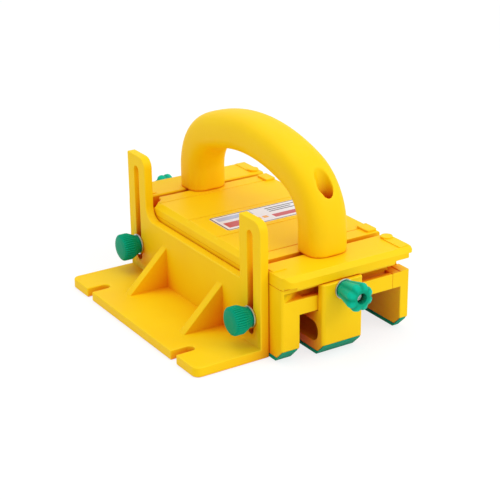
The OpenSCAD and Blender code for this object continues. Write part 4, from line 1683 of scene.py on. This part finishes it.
@dataclass
class HandleGroup:
    """Handle with the bolts in its bores."""

    bolt: FastenerShape = HANDLE_BOLT

    def build(self) -> None:
        """Builds the handle and its bolts."""
        Handle().build()
        Fasteners("handle_bolts", self.bolt).build()


@dataclass
class CenterLegGroup:
    """Centre leg with its clamp knobs."""

    knob: KnobShape = CLAMP_KNOB

    def build(self) -> None:
        """Builds the leg and its knobs."""
        Moulding("center_leg", Body.CENTER_LEG, YELLOW, Slot.BODY).build()
        FlutedKnob("front_clamp_knob", Body.FRONT_CLAMP, Vector((0, -1, 0)), self.knob).build()
        FlutedKnob("rear_clamp_knob", Body.REAR_CLAMP, Vector((0, 1, 0)), self.knob).build()


@dataclass
class SupportGroup:
    """Balance support with its knobs."""

    knob: KnobShape = SUPPORT_KNOB

    def build(self) -> None:
        """Builds the support and its knobs."""
        Moulding("balance_support", Body.SUPPORT, YELLOW, Slot.BODY).build()
        for node, body in (
            ("front_support_knob", Body.FRONT_SUPPORT_KNOB), ("rear_support_knob", Body.REAR_SUPPORT_KNOB)
        ):
            FlutedKnob(node, body, Vector((-1, 0, 0)), self.knob).build()


@dataclass
class Hardware:
    """Screws, washers and nuts, and the bolts, studs, inserts and bushes that keep their shapes."""

    screw: FastenerShape = CROSS_SCREW
    washer_radius: float = 0.25
    washer_steps: int = 2

    def build(self) -> None:
        """Builds the screws, the washers and the nuts, and dresses the rest."""
        for node in ("crossbar_screws", "deck_screws", "side_leg_screws"):
            Fasteners(node, self.screw).build()
        rings = {
            "front_clamp_washer": Body.CENTER_LEG, "rear_clamp_washer": Body.CENTER_LEG,
            "front_support_washer": Body.FRONT_SUPPORT_KNOB, "rear_support_washer": Body.REAR_SUPPORT_KNOB,
            "handle_washers": Body.CHASSIS, "handle_nuts": Body.CHASSIS,
        }
        for node, body in rings.items():
            Moulding(
                node, body, STEEL, Slot.STEEL, radius=self.washer_radius, steps=self.washer_steps
            ).build()
        kept = {
            LIGHTENED_BOLT: ("front_t_bolt", "rear_t_bolt"),
            THREADED_STEEL: ("front_support_stud", "rear_support_stud"),
            BRASS: ("support_inserts", "front_knob_bush", "rear_knob_bush"),
        }
        for finish, nodes in kept.items():
            for node in nodes:
                dress_node(node, finish)


def main() -> None:
    """Builds the scene."""
    logging.basicConfig(level=logging.INFO, format="%(name)s: %(message)s")
    groups = (
        Studio(), ChassisGroup(), PadGroup(), HandleGroup(), CenterLegGroup(), SupportGroup(), Hardware(),
    )
    for group in groups:
        group.build()
    bpy.context.view_layer.update()


if __name__ == "__main__":
    main()
